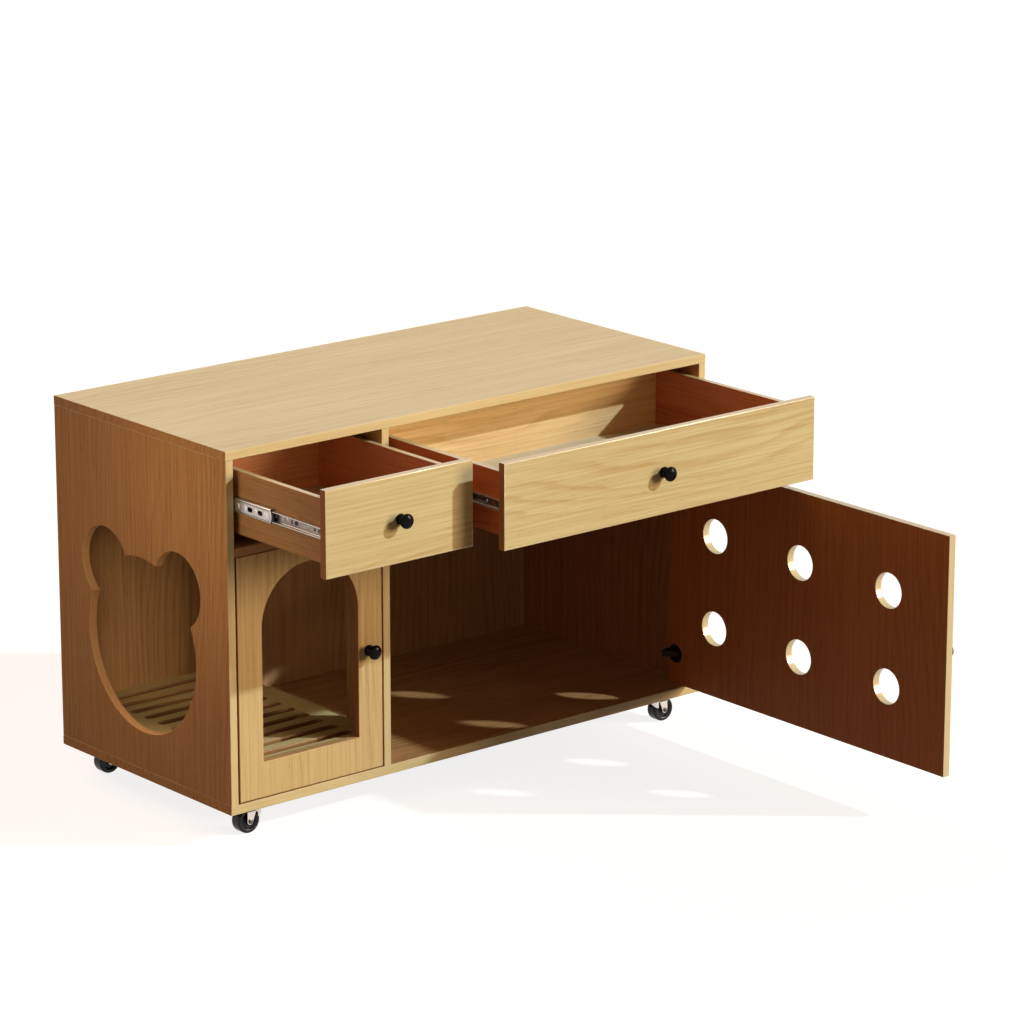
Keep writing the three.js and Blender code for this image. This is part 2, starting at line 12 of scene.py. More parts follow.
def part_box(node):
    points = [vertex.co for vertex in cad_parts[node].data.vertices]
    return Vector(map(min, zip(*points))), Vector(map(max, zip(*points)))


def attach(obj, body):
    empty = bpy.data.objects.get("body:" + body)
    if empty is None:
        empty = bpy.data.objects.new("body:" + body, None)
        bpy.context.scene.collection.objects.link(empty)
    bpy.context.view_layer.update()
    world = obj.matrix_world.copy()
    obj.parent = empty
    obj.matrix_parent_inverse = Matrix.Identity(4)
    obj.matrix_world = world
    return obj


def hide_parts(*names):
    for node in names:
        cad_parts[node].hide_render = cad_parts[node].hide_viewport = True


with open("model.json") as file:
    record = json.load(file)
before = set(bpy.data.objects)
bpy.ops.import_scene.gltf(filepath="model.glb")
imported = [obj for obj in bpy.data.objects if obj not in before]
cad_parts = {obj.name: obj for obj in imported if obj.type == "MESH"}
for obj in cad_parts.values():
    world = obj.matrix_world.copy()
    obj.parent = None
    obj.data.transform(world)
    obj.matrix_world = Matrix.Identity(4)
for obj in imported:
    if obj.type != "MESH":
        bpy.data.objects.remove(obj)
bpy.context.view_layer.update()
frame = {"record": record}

MM = 0.001
# The cabinet's own coordinates run from its left front corner on the floor, in millimetres.
CABINET_WIDTH = 1200.0
ORIGIN_ACROSS = CABINET_WIDTH / 2
ORIGIN_DEEP = -93.8

CAMERA_SPOT = (-4686, -6414, 2880)
CAMERA_DIP = 15.66
CAMERA_HEADING = 50.05
CAMERA_LENS = 156.02
FILL_COLOUR = (1.0, 0.57, 0.31, 1)
FILL_STRENGTH = 0.175
FLOOR_REACH = 25.0
FLOOR_PAPER = (0.32, 0.31, 0.30, 1)
FLOOR_GLOW = 0.84
FLOOR_BOUNCE = (0.16, 0.13, 0.10, 1)
CORNERS = ((1, 1), (-1, 1), (-1, -1), (1, -1))


def at(x, y, z):
    """A point given in the cabinet's own millimetres, in the frame."""
    return Vector(((x - ORIGIN_ACROSS) * MM, (y - ORIGIN_DEEP) * MM, z * MM))


# ---------- Camera, light and floor ----------

def new_object(name, data):
    made = bpy.data.objects.new(name, data)
    bpy.context.scene.collection.objects.link(made)
    return made


def make_camera():
    data = bpy.data.cameras.new("camera")
    data.sensor_width = 36.0
    data.lens = CAMERA_LENS
    data.clip_end = 60.0
    camera = new_object("camera", data)
    camera.location = at(*CAMERA_SPOT)
    camera.rotation_euler = (math.radians(90 - CAMERA_DIP), 0, math.radians(CAMERA_HEADING - 90))
    bpy.context.scene.camera = camera


def lamp(name, kind, strength, colour, travel):
    data = bpy.data.lights.new(name, kind)
    data.energy = strength
    data.color = colour
    made = new_object(name, data)
    made.rotation_euler = travel.to_track_quat("-Z", "Y").to_euler()
    return made


def sun(name, travel, strength, colour, spread):
    made = lamp(name, "SUN", strength, colour, Vector(travel))
    made.data.angle = math.radians(spread)
    made.location = (0, 0, 3)


def panel(name, spot, aim, size, power, colour):
    made = lamp(name, "AREA", power, colour, aim - spot)
    made.data.size = size
    made.location = spot


def show_by_ray(nodes, links, out, seen, lighting):
    """Puts out one shader for rays from the eye or by way of gloss or glass, and one for light on things."""
    path = nodes.new("ShaderNodeLightPath")
    directly = path.outputs["Is Camera Ray"]
    for kind in ("Is Glossy Ray", "Is Transmission Ray"):
        either = nodes.new("ShaderNodeMath")
        either.operation = "MAXIMUM"
        links.new(directly, either.inputs[0])
        links.new(path.outputs[kind], either.inputs[1])
        directly = either.outputs[0]
    mix = nodes.new("ShaderNodeMixShader")
    links.new(directly, mix.inputs["Fac"])
    links.new(lighting.outputs[0], mix.inputs[1])
    links.new(seen.outputs[0], mix.inputs[2])
    links.new(mix.outputs[0], out.inputs["Surface"])


def make_world():
    world = bpy.data.worlds.new("studio")
    world.use_nodes = True
    nodes, links = world.node_tree.nodes, world.node_tree.links
    nodes.clear()
    out = nodes.new("ShaderNodeOutputWorld")
    fill = nodes.new("ShaderNodeBackground")
    fill.inputs["Color"].default_value = FILL_COLOUR
    fill.inputs["Strength"].default_value = FILL_STRENGTH
    white = nodes.new("ShaderNodeBackground")
    white.inputs["Color"].default_value = (1, 1, 1, 1)
    white.inputs["Strength"].default_value = 1.0
    show_by_ray(nodes, links, out, white, fill)
    bpy.context.scene.world = world


def make_floor():
    mesh = bpy.data.meshes.new("floor")
    mesh.from_pydata([(FLOOR_REACH * i, FLOOR_REACH * j, 0) for i, j in CORNERS], [], [(0, 1, 2, 3)])
    floor = new_object("floor", mesh)
    material = bpy.data.materials.new("studio_floor")
    material.use_nodes = True
    nodes, links = material.node_tree.nodes, material.node_tree.links
    nodes.clear()
    out = nodes.new("ShaderNodeOutputMaterial")
    paper = nodes.new("ShaderNodeBsdfDiffuse")
    paper.inputs["Color"].default_value = FLOOR_PAPER
    glow = nodes.new("ShaderNodeEmission")
    glow.inputs["Strength"].default_value = FLOOR_GLOW
    both = nodes.new("ShaderNodeAddShader")
    links.new(paper.outputs[0], both.inputs[0])
    links.new(glow.outputs[0], both.inputs[1])
    bounce = nodes.new("ShaderNodeBsdfDiffuse")
    bounce.inputs["Color"].default_value = FLOOR_BOUNCE
    show_by_ray(nodes, links, out, both, bounce)
    mesh.materials.append(material)


# ---------- Shader groups ----------

def new_group(name, inputs, outputs):
    tree = bpy.data.node_groups.new(name, "ShaderNodeTree")
    for label, kind, value in inputs:
        socket = tree.interface.new_socket(name=label, in_out="INPUT", socket_type="NodeSocket" + kind)
        if value is not None:
            socket.default_value = value
    for label, kind in outputs:
        tree.interface.new_socket(name=label, in_out="OUTPUT", socket_type="NodeSocket" + kind)
    return tree, tree.nodes.new("NodeGroupInput"), tree.nodes.new("NodeGroupOutput")


class Graph:
    """Short ways to add and link nodes in one tree."""

    def __init__(self, tree):
        self.nodes, self.links = tree.nodes, tree.links

    def feed(self, socket, value):
        if isinstance(value, bpy.types.NodeSocket):
            self.links.new(value, socket)
        else:
            socket.default_value = value

    def math(self, operation, a, b=0.0, clamp=False):
        node = self.nodes.new("ShaderNodeMath")
        node.operation = operation
        node.use_clamp = clamp
        self.feed(node.inputs[0], a)
        self.feed(node.inputs[1], b)
        return node.outputs[0]

    def stretch(self, vector, scale):
        node = self.nodes.new("ShaderNodeVectorMath")
        node.operation = "MULTIPLY"
        self.feed(node.inputs[0], vector)
        self.feed(node.inputs[1], scale)
        return node.outputs[0]

    def noise(self, vector, detail, roughness):
        node = self.nodes.new("ShaderNodeTexNoise")
        node.inputs["Scale"].default_value = 1.0
        node.inputs["Detail"].default_value = detail
        node.inputs["Roughness"].default_value = roughness
        self.feed(node.inputs["Vector"], vector)
        return node.outputs["Fac"]

    def ramp(self, value, low, high):
        node = self.nodes.new("ShaderNodeMapRange")
        node.interpolation_type = "SMOOTHSTEP"
        self.feed(node.inputs["Value"], value)
        self.feed(node.inputs["From Min"], low)
        self.feed(node.inputs["From Max"], high)
        return node.outputs["Result"]

    def total(self, *terms):
        """The sum of (value, weight) pairs."""
        added = None
        for value, weight in terms:
            part = self.math("MULTIPLY", value, weight)
            added = part if added is None else self.math("ADD", added, part)
        return added

    def blend(self, factor, a, b, kind="MIX"):
        """Mixes two colours. The Mix node takes them in sockets 6 and 7 and puts out socket 2."""
        node = self.nodes.new("ShaderNodeMix")
        node.data_type = "RGBA"
        node.blend_type = kind
        self.feed(node.inputs[0], factor)
        self.feed(node.inputs[6], a)
        self.feed(node.inputs[7], b)
        return node.outputs[2]


def wood_grain_group():
    """Oak figure with its grain along local X: rings, streaks and short dark pores."""
    tree, given, out = new_group("wood_grain", [
        ("Vector", "Vector", None),
        ("Pale", "Color", (0.6, 0.42, 0.2, 1)),
        ("Dark", "Color", (0.4, 0.24, 0.1, 1)),
        ("Figure", "Float", 0.5),
        ("Pores", "Float", 0.5),
        ("Dullness", "Float", 0.5),
    ], [("Color", "Color"), ("Roughness", "Float"), ("Height", "Float")])
    g = Graph(tree)
    place = given.outputs["Vector"]

    def cloud(along, across, detail=2.0, roughness=0.5):
        return g.noise(g.stretch(place, (along, across, across)), detail, roughness)

    # Growth rings, counted across the board and pushed aside by slow clouds, show where the mask lets them
    apart = g.nodes.new("ShaderNodeSeparateXYZ")
    g.feed(apart.inputs[0], place)
    rings_per_metre, sway, swell, wander = 52.0, 9.0, 15.0, 1.1
    count = g.total((apart.outputs["Y"], rings_per_metre), (cloud(1.1, 4.5, 2.0, 0.45), sway),
                    (cloud(0.45, 2.0, 1.0), swell), (cloud(5.0, 40.0), wander))
    wave = g.math("FRACT", count)
    line = g.math("MULTIPLY", g.ramp(wave, 0.40, 0.86), g.ramp(wave, 1.0, 0.88))
    line = g.math("MULTIPLY", line, g.ramp(cloud(1.6, 8.0, 1.0), 0.40, 0.62))

    # Streaks, fine fibres and slow patches make up the rest of the tone
    streak = cloud(2.6, 185.0, 3.0, 0.62)
    fibre = g.math("SUBTRACT", cloud(6.0, 350.0, 2.0, 0.6), 0.5)
    streak_share, patch_share, fibre_share = 0.36, 0.14, 0.62
    tone = g.total((g.ramp(streak, 0.32, 0.70), streak_share), (line, given.outputs["Figure"]),
                   (g.ramp(cloud(2.4, 7.0), 0.35, 0.70), patch_share), (fibre, fibre_share))
    tone = g.math("MAXIMUM", tone, 0.0, clamp=True)
    body = g.blend(tone, given.outputs["Pale"], given.outputs["Dark"])

    # Short dark pores lie in the streaks
    pore = g.math("MULTIPLY", g.ramp(cloud(38.0, 1250.0, 1.0), 0.60, 0.70), g.ramp(streak, 0.42, 0.62))
    pore = g.math("MULTIPLY", pore, given.outputs["Pores"], clamp=True)
    deep = g.blend(1.0, given.outputs["Dark"], (0.62, 0.54, 0.47, 1), "MULTIPLY")
    g.feed(out.inputs["Color"], g.blend(pore, body, deep))
    g.feed(out.inputs["Roughness"], g.total((given.outputs["Dullness"], 1.0), (streak, 0.18)))
    g.feed(out.inputs["Height"], g.total((streak, 0.6), (pore, -1.0)))
    return tree


def scuff_group():
    """Fine handling marks: a roughness that drifts over the surface and a few faint specks."""
    tree, given, out = new_group("scuff", [
        ("Vector", "Vector", None),
        ("Base", "Float", 0.2),
        ("Spread", "Float", 0.1),
        ("Scale", "Float", 60.0),
    ], [("Roughness", "Float"), ("Height", "Float")])
    g = Graph(tree)
    scaled = g.nodes.new("ShaderNodeVectorMath")
    scaled.operation = "SCALE"
    g.feed(scaled.inputs[0], given.outputs["Vector"])
    g.feed(scaled.inputs["Scale"], given.outputs["Scale"])
    cloud = g.noise(scaled.outputs[0], 4.0, 0.6)
    grit = g.noise(g.stretch(scaled.outputs[0], (14.0, 14.0, 14.0)), 2.0, 0.5)
    drift = g.math("MULTIPLY", g.math("SUBTRACT", cloud, 0.4), given.outputs["Spread"])
    g.feed(out.inputs["Roughness"], g.math("ADD", given.outputs["Base"], drift, clamp=True))
    g.feed(out.inputs["Height"], grit)
    return tree


def plating_group():
    """Rolled steel with a plated tint: long fine lines along local X."""
    tree, given, out = new_group("rolled_plating", [
        ("Vector", "Vector", None),
        ("Bright", "Color", (0.8, 0.8, 0.8, 1)),
        ("Dull", "Color", (0.6, 0.58, 0.52, 1)),
        ("Line Stretch", "Vector", (8.0, 900.0, 900.0)),
    ], [("Color", "Color"), ("Roughness", "Float"), ("Height", "Float")])
    g = Graph(tree)
    place = given.outputs["Vector"]
    lines = g.noise(g.stretch(place, given.outputs["Line Stretch"]), 2.0, 0.55)
    cloud = g.noise(g.stretch(place, (18.0, 18.0, 18.0)), 3.0, 0.6)
    tint = g.total((lines, 0.5), (g.ramp(cloud, 0.3, 0.7), 0.5))
    tint = g.math("MAXIMUM", tint, 0.0, clamp=True)
    g.feed(out.inputs["Color"], g.blend(tint, given.outputs["Bright"], given.outputs["Dull"]))
    g.feed(out.inputs["Roughness"], g.math("ADD", 0.20, g.math("MULTIPLY", tint, 0.22)))
    g.feed(out.inputs["Height"], lines)
    return tree


# ---------- Materials ----------

def new_material(name):
    material = bpy.data.materials.new(name)
    material.use_nodes = True
    nodes = material.node_tree.nodes
    nodes.clear()
    out = nodes.new("ShaderNodeOutputMaterial")
    shader = nodes.new("ShaderNodeBsdfPrincipled")
    material.node_tree.links.new(shader.outputs[0], out.inputs["Surface"])
    place = nodes.new("ShaderNodeTexCoord").outputs["Object"]
    return material, Graph(material.node_tree), shader, place


def use_group(g, tree, place, **values):
    node = g.nodes.new("ShaderNodeGroup")
    node.node_tree = tree
    g.feed(node.inputs["Vector"], place)
    for label, value in values.items():
        g.feed(node.inputs[label.replace("_", " ")], value)
    return node


def bump(g, shader, height, strength, distance):
    node = g.nodes.new("ShaderNodeBump")
    node.inputs["Strength"].default_value = strength
    node.inputs["Distance"].default_value = distance
    g.feed(node.inputs["Height"], height)
    g.feed(shader.inputs["Normal"], node.outputs[0])


def laminate(name, pale, dark, figure, pores, specular=0.2, dullness=0.5):
    material, g, shader, place = new_material(name)
    grain = use_group(g, WOOD_GRAIN, place, Pale=(*pale, 1), Dark=(*dark, 1), Figure=figure, Pores=pores,
                      Dullness=dullness)
    g.feed(shader.inputs["Base Color"], grain.outputs["Color"])
    g.feed(shader.inputs["Roughness"], grain.outputs["Roughness"])
    shader.inputs["Specular IOR Level"].default_value = specular
    bump(g, shader, grain.outputs["Height"], strength=0.25, distance=0.0003)
    return material


def plastic(name, colour, base, spread, scale, specular):
    material, g, shader, place = new_material(name)
    marks = use_group(g, SCUFF, place, Base=base, Spread=spread, Scale=scale)
    cloud = g.noise(g.stretch(place, (30.0, 30.0, 30.0)), 3.0, 0.5)
    lighter = tuple(min(1.0, c * 1.8 + 0.001) for c in colour)
    g.feed(shader.inputs["Base Color"], g.blend(g.ramp(cloud, 0.3, 0.75), (*colour, 1), (*lighter, 1)))
    g.feed(shader.inputs["Roughness"], marks.outputs["Roughness"])
    shader.inputs["Specular IOR Level"].default_value = specular
    bump(g, shader, marks.outputs["Height"], strength=0.08, distance=0.00005)
    return material


def metal(name, bright, dull, lines):
    material, g, shader, place = new_material(name)
    plated = use_group(g, PLATING, place, Bright=(*bright, 1), Dull=(*dull, 1), Line_Stretch=lines)
    g.feed(shader.inputs["Base Color"], plated.outputs["Color"])
    g.feed(shader.inputs["Roughness"], plated.outputs["Roughness"])
    shader.inputs["Metallic"].default_value = 1.0
    bump(g, shader, plated.outputs["Height"], strength=0.06, distance=0.00005)
    return material


# ---------- Mesh helpers ----------

SHARP_ANGLE = 40


def add_mesh(name, verts, faces, materials, matrix, face_materials):
    """A smooth-shaded piece. Its normals are weighted by area, so that flat faces look flat to their rims."""
    mesh = bpy.data.meshes.new(name)
    mesh.from_pydata([tuple(v) for v in verts], [], faces)
    for material in materials:
        mesh.materials.append(material)
    mesh.polygons.foreach_set("material_index", face_materials)
    mesh.update()
    mesh.set_sharp_from_angle(angle=math.radians(SHARP_ANGLE))
    made = new_object(name, mesh)
    normals = made.modifiers.new("flat_faces", "WEIGHTED_NORMAL")
    normals.mode = "FACE_AREA"
    normals.keep_sharp = True
    made.matrix_world = matrix
    return made


def signed_area(loop):
    return 0.5 * sum(a.x * b.y - b.x * a.y for a, b in zip(loop, loop[1:] + loop[:1]))


def inset(loop, distance):
    """Moves a closed loop into the material, which lies on its left."""
    moved = []
    for i, point in enumerate(loop):
        before = (point - loop[i - 1]).normalized()
        after = (loop[(i + 1) % len(loop)] - point).normalized()
        a = Vector((-before.y, before.x))
        b = Vector((-after.y, after.x))
        moved.append(point + (a + b) / max(1 + a.dot(b), 0.35) * distance)
    return moved


def ring_faces(first, n, rings):
    """The faces between rings of n points each, where the first point has the number given."""
    starts = range(first, first + (rings - 1) * n, n)
    return [(a + i, a + (i + 1) % n, a + n + (i + 1) % n, a + n + i) for a in starts for i in range(n)]


LOW_FACE, HIGH_FACE, EDGE_FACE, LEFT_END_SHADED, HOLE_WALL = range(5)


def plate_mesh(outline, holes, thickness, radius, steps=3, bores=(), depth=0.0, bored_high=True):
    """A flat board with rounded arrises: vertices, faces, and a tag for each face.

    Holes go right through. Bores go in by a depth from one of the two faces.
    """
    loops = [outline if signed_area(outline) > 0 else outline[::-1]]
    loops += [hole if signed_area(hole) < 0 else hole[::-1] for hole in holes]
    bend = [math.radians(90 * k / steps) for k in range(steps + 1)]
    low = [(radius * (1 - math.sin(t)), radius * (1 - math.cos(t))) for t in bend]
    rings = low + [(d, thickness - w) for d, w in reversed(low)]
    verts, faces, tags, flat_low, flat_high = [], [], [], [], []
    for loop in loops:
        n, first = len(loop), len(verts)
        for distance, w in rings:
            verts += [Vector((p.x, p.y, w)) for p in inset(loop, distance)]
        wall = ring_faces(first, n, len(rings))
        faces += wall
        tags += [EDGE_FACE if loop is loops[0] else HOLE_WALL] * len(wall)
        flat_low.append(range(first, first + n))
        flat_high.append(range(first + (len(rings) - 1) * n, first + len(rings) * n))
    for bore in bores:
        loop = bore if signed_area(bore) < 0 else bore[::-1]
        n, first = len(loop), len(verts)
        walls = low + [(0.0, depth)]
        for distance, w in walls:
            verts += [Vector((p.x, p.y, thickness - w if bored_high else w)) for p in inset(loop, distance)]
        last = first + (len(walls) - 1) * n
        inner = [*ring_faces(first, n, len(walls)), tuple(range(last, last + n))]
        faces += [face[::-1] for face in inner] if bored_high else inner
        tags += [EDGE_FACE] * len(inner)
        (flat_high if bored_high else flat_low).append(range(first, first + n))
    for rims, tag in ((flat_low, LOW_FACE), (flat_high, HIGH_FACE)):
        index = [i for rim in rims for i in rim]
        flats = [[Vector((verts[i].x, verts[i].y, 0)) for i in rim] for rim in rims]
        for a, b, c in tessellate_polygon(flats):
            a, b, c = index[a], index[b], index[c]
            turn = (verts[b] - verts[a]).cross(verts[c] - verts[a]).z
            if (turn > 0) == (tag == LOW_FACE):
                a, c = c, a
            faces.append((a, b, c))
            tags.append(tag)
    return verts, faces, tags


def circle(a, b, radius, start=0.0, end=360.0, steps=24):
    """Points on a circle, or on an arc between two angles in degrees, where the last point counts too."""
    closed = end - start >= 360
    angles = [math.radians(start + (end - start) * k / steps) for k in range(steps + (not closed))]
    return [(a + radius * math.cos(t), b + radius * math.sin(t)) for t in angles]


CUP_BORE_DEPTH = 12.5
# An edge face is a left end, which gets a painted-shade material, where its normal's X is below this
FACES_LEFT = -0.75
GRAIN_STEP = (1.37, 0.83)
GRAIN_FIRST = 0.2
board_count = itertools.count(1)


def board(node, grain, low, high, edge, holes=(), outline=None, radius=1.1, bores=(), bored_high=True,
          rim=None):
    """A laminated board in place of a CAD board of the same size, with a stretch of figure of its own.

    grain is the axis that the figure runs along. low and high are the materials of the faces towards the
    low and the high end of the thickness, and rim that of the holes' walls. Holes, bores and outline are in
    the cabinet's millimetres, on the two axes of the board in X, Y, Z order.
    """
    lo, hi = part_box(node)
    size = hi - lo
    # w is the axis of the thickness, u that of the grain and v the one across the grain
    w = min(range(3), key=lambda k: size[k])
    a, b = [k for k in range(3) if k != w]
    u = "XYZ".index(grain)
    v = b if u == a else a
    eu, ev = Vector((0, 0, 0)), Vector((0, 0, 0))
    eu[u] = 1.0
    ev[v] = 1.0
    ew = eu.cross(ev)
    upward = ew[w] > 0
    number = next(board_count)
    shift = Vector((GRAIN_STEP[0] * number, GRAIN_STEP[1] * number + GRAIN_FIRST, 0.0))
    base = lo if upward else Vector([hi[k] if k == w else lo[k] for k in range(3)])

    def flat(pairs):
        points = []
        for p, q in pairs:
            place = [0.0, 0.0, 0.0]
            place[a], place[b] = p, q
            spot = at(*place)
            points.append(Vector((spot[u] - lo[u] + shift.x, spot[v] - lo[v] + shift.y)))
        return points

    if outline is None:
        edge_loop = [Vector((shift.x + i * size[u], shift.y + j * size[v])) for i, j in
                     ((0, 0), (1, 0), (1, 1), (0, 1))]
    else:
        edge_loop = flat(outline)
    verts, faces, tags = plate_mesh(edge_loop, [flat(hole) for hole in holes], size[w], radius * MM,
                                    bores=[flat(bore) for bore in bores], depth=CUP_BORE_DEPTH * MM,
                                    bored_high=bored_high == upward)
    matrix = Matrix((eu, ev, ew)).transposed().to_4x4()
    matrix.translation = base - eu * shift.x - ev * shift.y
    sides = (low, high) if upward else (high, low)
    for i, face in enumerate(faces):
        if tags[i] in (EDGE_FACE, HOLE_WALL):
            normal = (verts[face[1]] - verts[face[0]]).cross(verts[face[3]] - verts[face[0]])
            if (matrix.to_3x3() @ normal).normalized().x < FACES_LEFT:
                tags[i] = LEFT_END_SHADED
    # Left-facing edges get painted shade: the shaded side's oak on the carcass, and a dark edge copy
    # elsewhere.
    shaded_left_end = OAK_SIDE_PAINTED_SHADE if edge is EDGE_CARCASS else EDGE_SIDE_PAINTED_SHADE
    made = add_mesh(node + "_board", verts, faces, [*sides, edge, shaded_left_end, rim or edge], matrix, tags)
    finish_piece(made, node)


def body_of(node):
    bodies = frame["record"]["behaviour"]["bodies"]
    return next(body for body, members in bodies.items() if node in members)


def finish_piece(made, node):
    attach(made, body_of(node))
    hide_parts(node)


def smooth_profile(points, steps):
    """A smooth curve through (radius, height) pairs. A pair with a third item of True is a corner."""
    out = []
    for i in range(len(points) - 1):
        p1, p2 = points[i], points[i + 1]
        p0 = points[i - 1] if i and len(p1) == 2 else p1
        p3 = points[i + 2] if i + 2 < len(points) and len(p2) == 2 else p2
        for k in range(steps):
            t = k / steps
            out.append(tuple(0.5 * (2 * p1[c] + (p2[c] - p0[c]) * t
                                    + (2 * p0[c] - 5 * p1[c] + 4 * p2[c] - p3[c]) * t * t
                                    + (3 * p1[c] - p0[c] - 3 * p2[c] + p3[c]) * t ** 3) for c in (0, 1)))
    out.append(tuple(points[-1][:2]))
    return [(max(r, 0.0), h) for r, h in out]


def lathe_mesh(profile, segments):
    """Turns (radius, height) pairs round local Z. The profile runs with the material on its left."""
    verts, faces, rings = [], [], []
    for r, h in profile:
        if r < 1e-6:
            rings.append([len(verts)] * segments)
            verts.append(Vector((0, 0, h)))
        else:
            rings.append(list(range(len(verts), len(verts) + segments)))
            verts += [Vector((x, y, h)) for x, y in circle(0, 0, r, steps=segments)]
    for low, high in zip(rings, rings[1:]):
        for k in range(segments):
            j = (k + 1) % segments
            face = [low[k], low[j], high[j], high[k]]
            face = [v for i, v in enumerate(face) if v not in face[:i]]
            if len(face) > 2:
                faces.append(tuple(face))
    return verts, faces


def slab_mesh(outline, holes, thickness, radius, steps=2):
    loops = [[Vector(point) for point in loop] for loop in (outline, *holes)]
    return plate_mesh(loops[0], loops[1:], thickness, radius, steps)[:2]


def sweep_mesh(path, radius, segments=10):
    """A round bar along a path, closed at both ends."""
    verts = []
    for i, point in enumerate(path):
        ahead = (path[min(i + 1, len(path) - 1)] - path[max(i - 1, 0)]).normalized()
        turn = ahead.to_track_quat("Z", "Y").to_matrix()
        verts += [point + turn @ Vector((x, y, 0)) for x, y in circle(0, 0, radius, steps=segments)]
    faces = ring_faces(0, segments, len(path))
    faces.append(tuple(range(segments))[::-1])
    faces.append(tuple(range((len(path) - 1) * segments, len(path) * segments)))
    return verts, faces


def dome_mesh(length, width, height):
    """A pressed bump with straight sides and round ends, risen from the plane z = 0."""
    steps = 4
    half = max(length - width, 0) / 2
    verts = []
    rim = circle(half, 0, width / 2, -90, 90, 8) + circle(-half, 0, width / 2, 90, 270, 8)
    for k in range(steps):
        t = math.radians(90 * k / steps)
        drop = (1 - math.cos(t)) * width / 2
        loop = inset([Vector(point) for point in rim], drop)
        verts += [Vector((q.x, q.y, height * math.sin(t))) for q in loop]
    n = len(rim)
    faces = ring_faces(0, n, steps)
    faces.append(tuple(range((steps - 1) * n, steps * n)))
    return verts, faces


SAME = Matrix.Identity(4)
UPSIDE_DOWN = Matrix.Diagonal((1, 1, -1, 1))


def columns(x, y, z, move):
    """A matrix from the places that local X, Y and Z point to, and a shift."""
    matrix = Matrix((x, y, z)).transposed().to_4x4()
    matrix.translation = Vector(move)
    return matrix


def hardware(node, parts, materials, origin, turn=SAME, mirror=False, suffix="made"):
    """One object from (mesh, matrix, material index) parts drawn in millimetres round an origin."""
    flip = Matrix.Diagonal((-1, 1, 1, 1)) if mirror else SAME
    verts, faces, tags = [], [], []
    for (part_verts, part_faces), matrix, tag in parts:
        first, place = len(verts), flip @ matrix
        verts += [place @ v * MM for v in part_verts]
        inside_out = place.to_3x3().determinant() < 0
        for face in part_faces:
            shifted = tuple(first + i for i in face)
            faces.append(shifted[::-1] if inside_out else shifted)
            tags.append(tag)
    made = add_mesh(f"{node}_{suffix}", verts, faces, materials, Matrix.Translation(origin) @ turn, tags)
    finish_piece(made, node)


def turned_to(direction):
    """A turn that brings local Z round to a direction."""
    return Vector(direction).to_track_quat("Z", "Y").to_matrix().to_4x4()


def stood_at(x):
    """A flat plate stood on edge: its own X along Y, its own Y up, and its thickness along X from x."""
    return columns((0, 1, 0), (0, 0, 1), (1, 0, 0), (x, 0, 0))


bpy.context.scene.view_settings.view_transform = "Standard"
make_camera()
make_world()
make_floor()
sun("key", (-1.351, 1.182, -1.0), 2.5, (0.92, 1.0, 1.0), 1.3)
sun("front_fill", (-0.9, 1.0, -0.27), 2.35, (1.0, 0.73, 0.46), 20.0)
sun("back_fill", (0.10, -0.85, -0.5), 1.6, (1.0, 0.55, 0.28), 40.0)
panel("left_fill", at(-430, 30, 740), at(0, 330, 420), 0.3, 1.1, (1.0, 0.84, 0.55))

WOOD_GRAIN = wood_grain_group()
SCUFF = scuff_group()
PLATING = plating_group()

# Each laminate has its pale and dark tones, its share of figure and of pores, its specular level and dullness
# The top's tones are the pale oak, made paler still by a painted sheen of the white surroundings.
OAK_TOP_PAINTED_SHEEN = laminate("oak_top_painted_sheen", (0.765, 0.745, 0.565), (0.62, 0.53, 0.35), 0.25, 0.5, 0.03, 0.66)
OAK_FRONT = laminate("oak_front", (0.61, 0.535, 0.29), (0.46, 0.315, 0.13), 0.4, 0.5)
OAK_DOOR = laminate("oak_door", (0.61, 0.48, 0.24), (0.43, 0.28, 0.11), 0.4, 0.5)
# Painted shade: a darker, redder copy of the oak for the outer left side, the undersides and the left ends.
OAK_SIDE_PAINTED_SHADE = laminate("oak_side_painted_shade", (0.46, 0.23, 0.078), (0.26, 0.112, 0.033), 0.4, 1.0)
# Painted shade: the bays' inside faces, their floor and their right wall are darker, redder copies of the
# oak.
OAK_FLOOR_PAINTED_SHADE = laminate("oak_floor_painted_shade", (0.54, 0.315, 0.135), (0.32, 0.165, 0.06), 0.4, 0.9)
OAK_INNER_RED_PAINTED_SHADE = laminate("oak_inner_red_painted_shade", (0.43, 0.19, 0.085), (0.25, 0.10, 0.04), 0.4, 0.9)
OAK_INNER_PAINTED_SHADE = laminate("oak_inner_painted_shade", (0.48, 0.29, 0.135), (0.27, 0.145, 0.056), 0.4, 0.9)
# Painted shade: the right door's inner face is a dark, red copy of the oak.
OAK_DOOR_INNER_PAINTED_SHADE = laminate("oak_door_inner_painted_shade", (0.48, 0.165, 0.052), (0.31, 0.088, 0.024), 0.3, 0.8)
# Painted shade: the drawers' outer left sides are darker, redder copies of the oak, and the large one's is
# darkest.
OAK_DRAWER_PAINTED_SHADE = laminate("oak_drawer_painted_shade", (0.44, 0.235, 0.095), (0.27, 0.125, 0.045), 0.4, 1.0)
OAK_DRAWER_DEEP_PAINTED_SHADE = laminate("oak_drawer_deep_painted_shade", (0.48, 0.115, 0.03), (0.33, 0.065, 0.015), 0.4, 0.8)
# Painted shade: the inner faces of the drawers' right sides are a red copy of the oak.
OAK_DRAWER_RED_PAINTED_SHADE = laminate("oak_drawer_red_painted_shade", (0.54, 0.18, 0.085), (0.37, 0.10, 0.042), 0.4, 0.8)
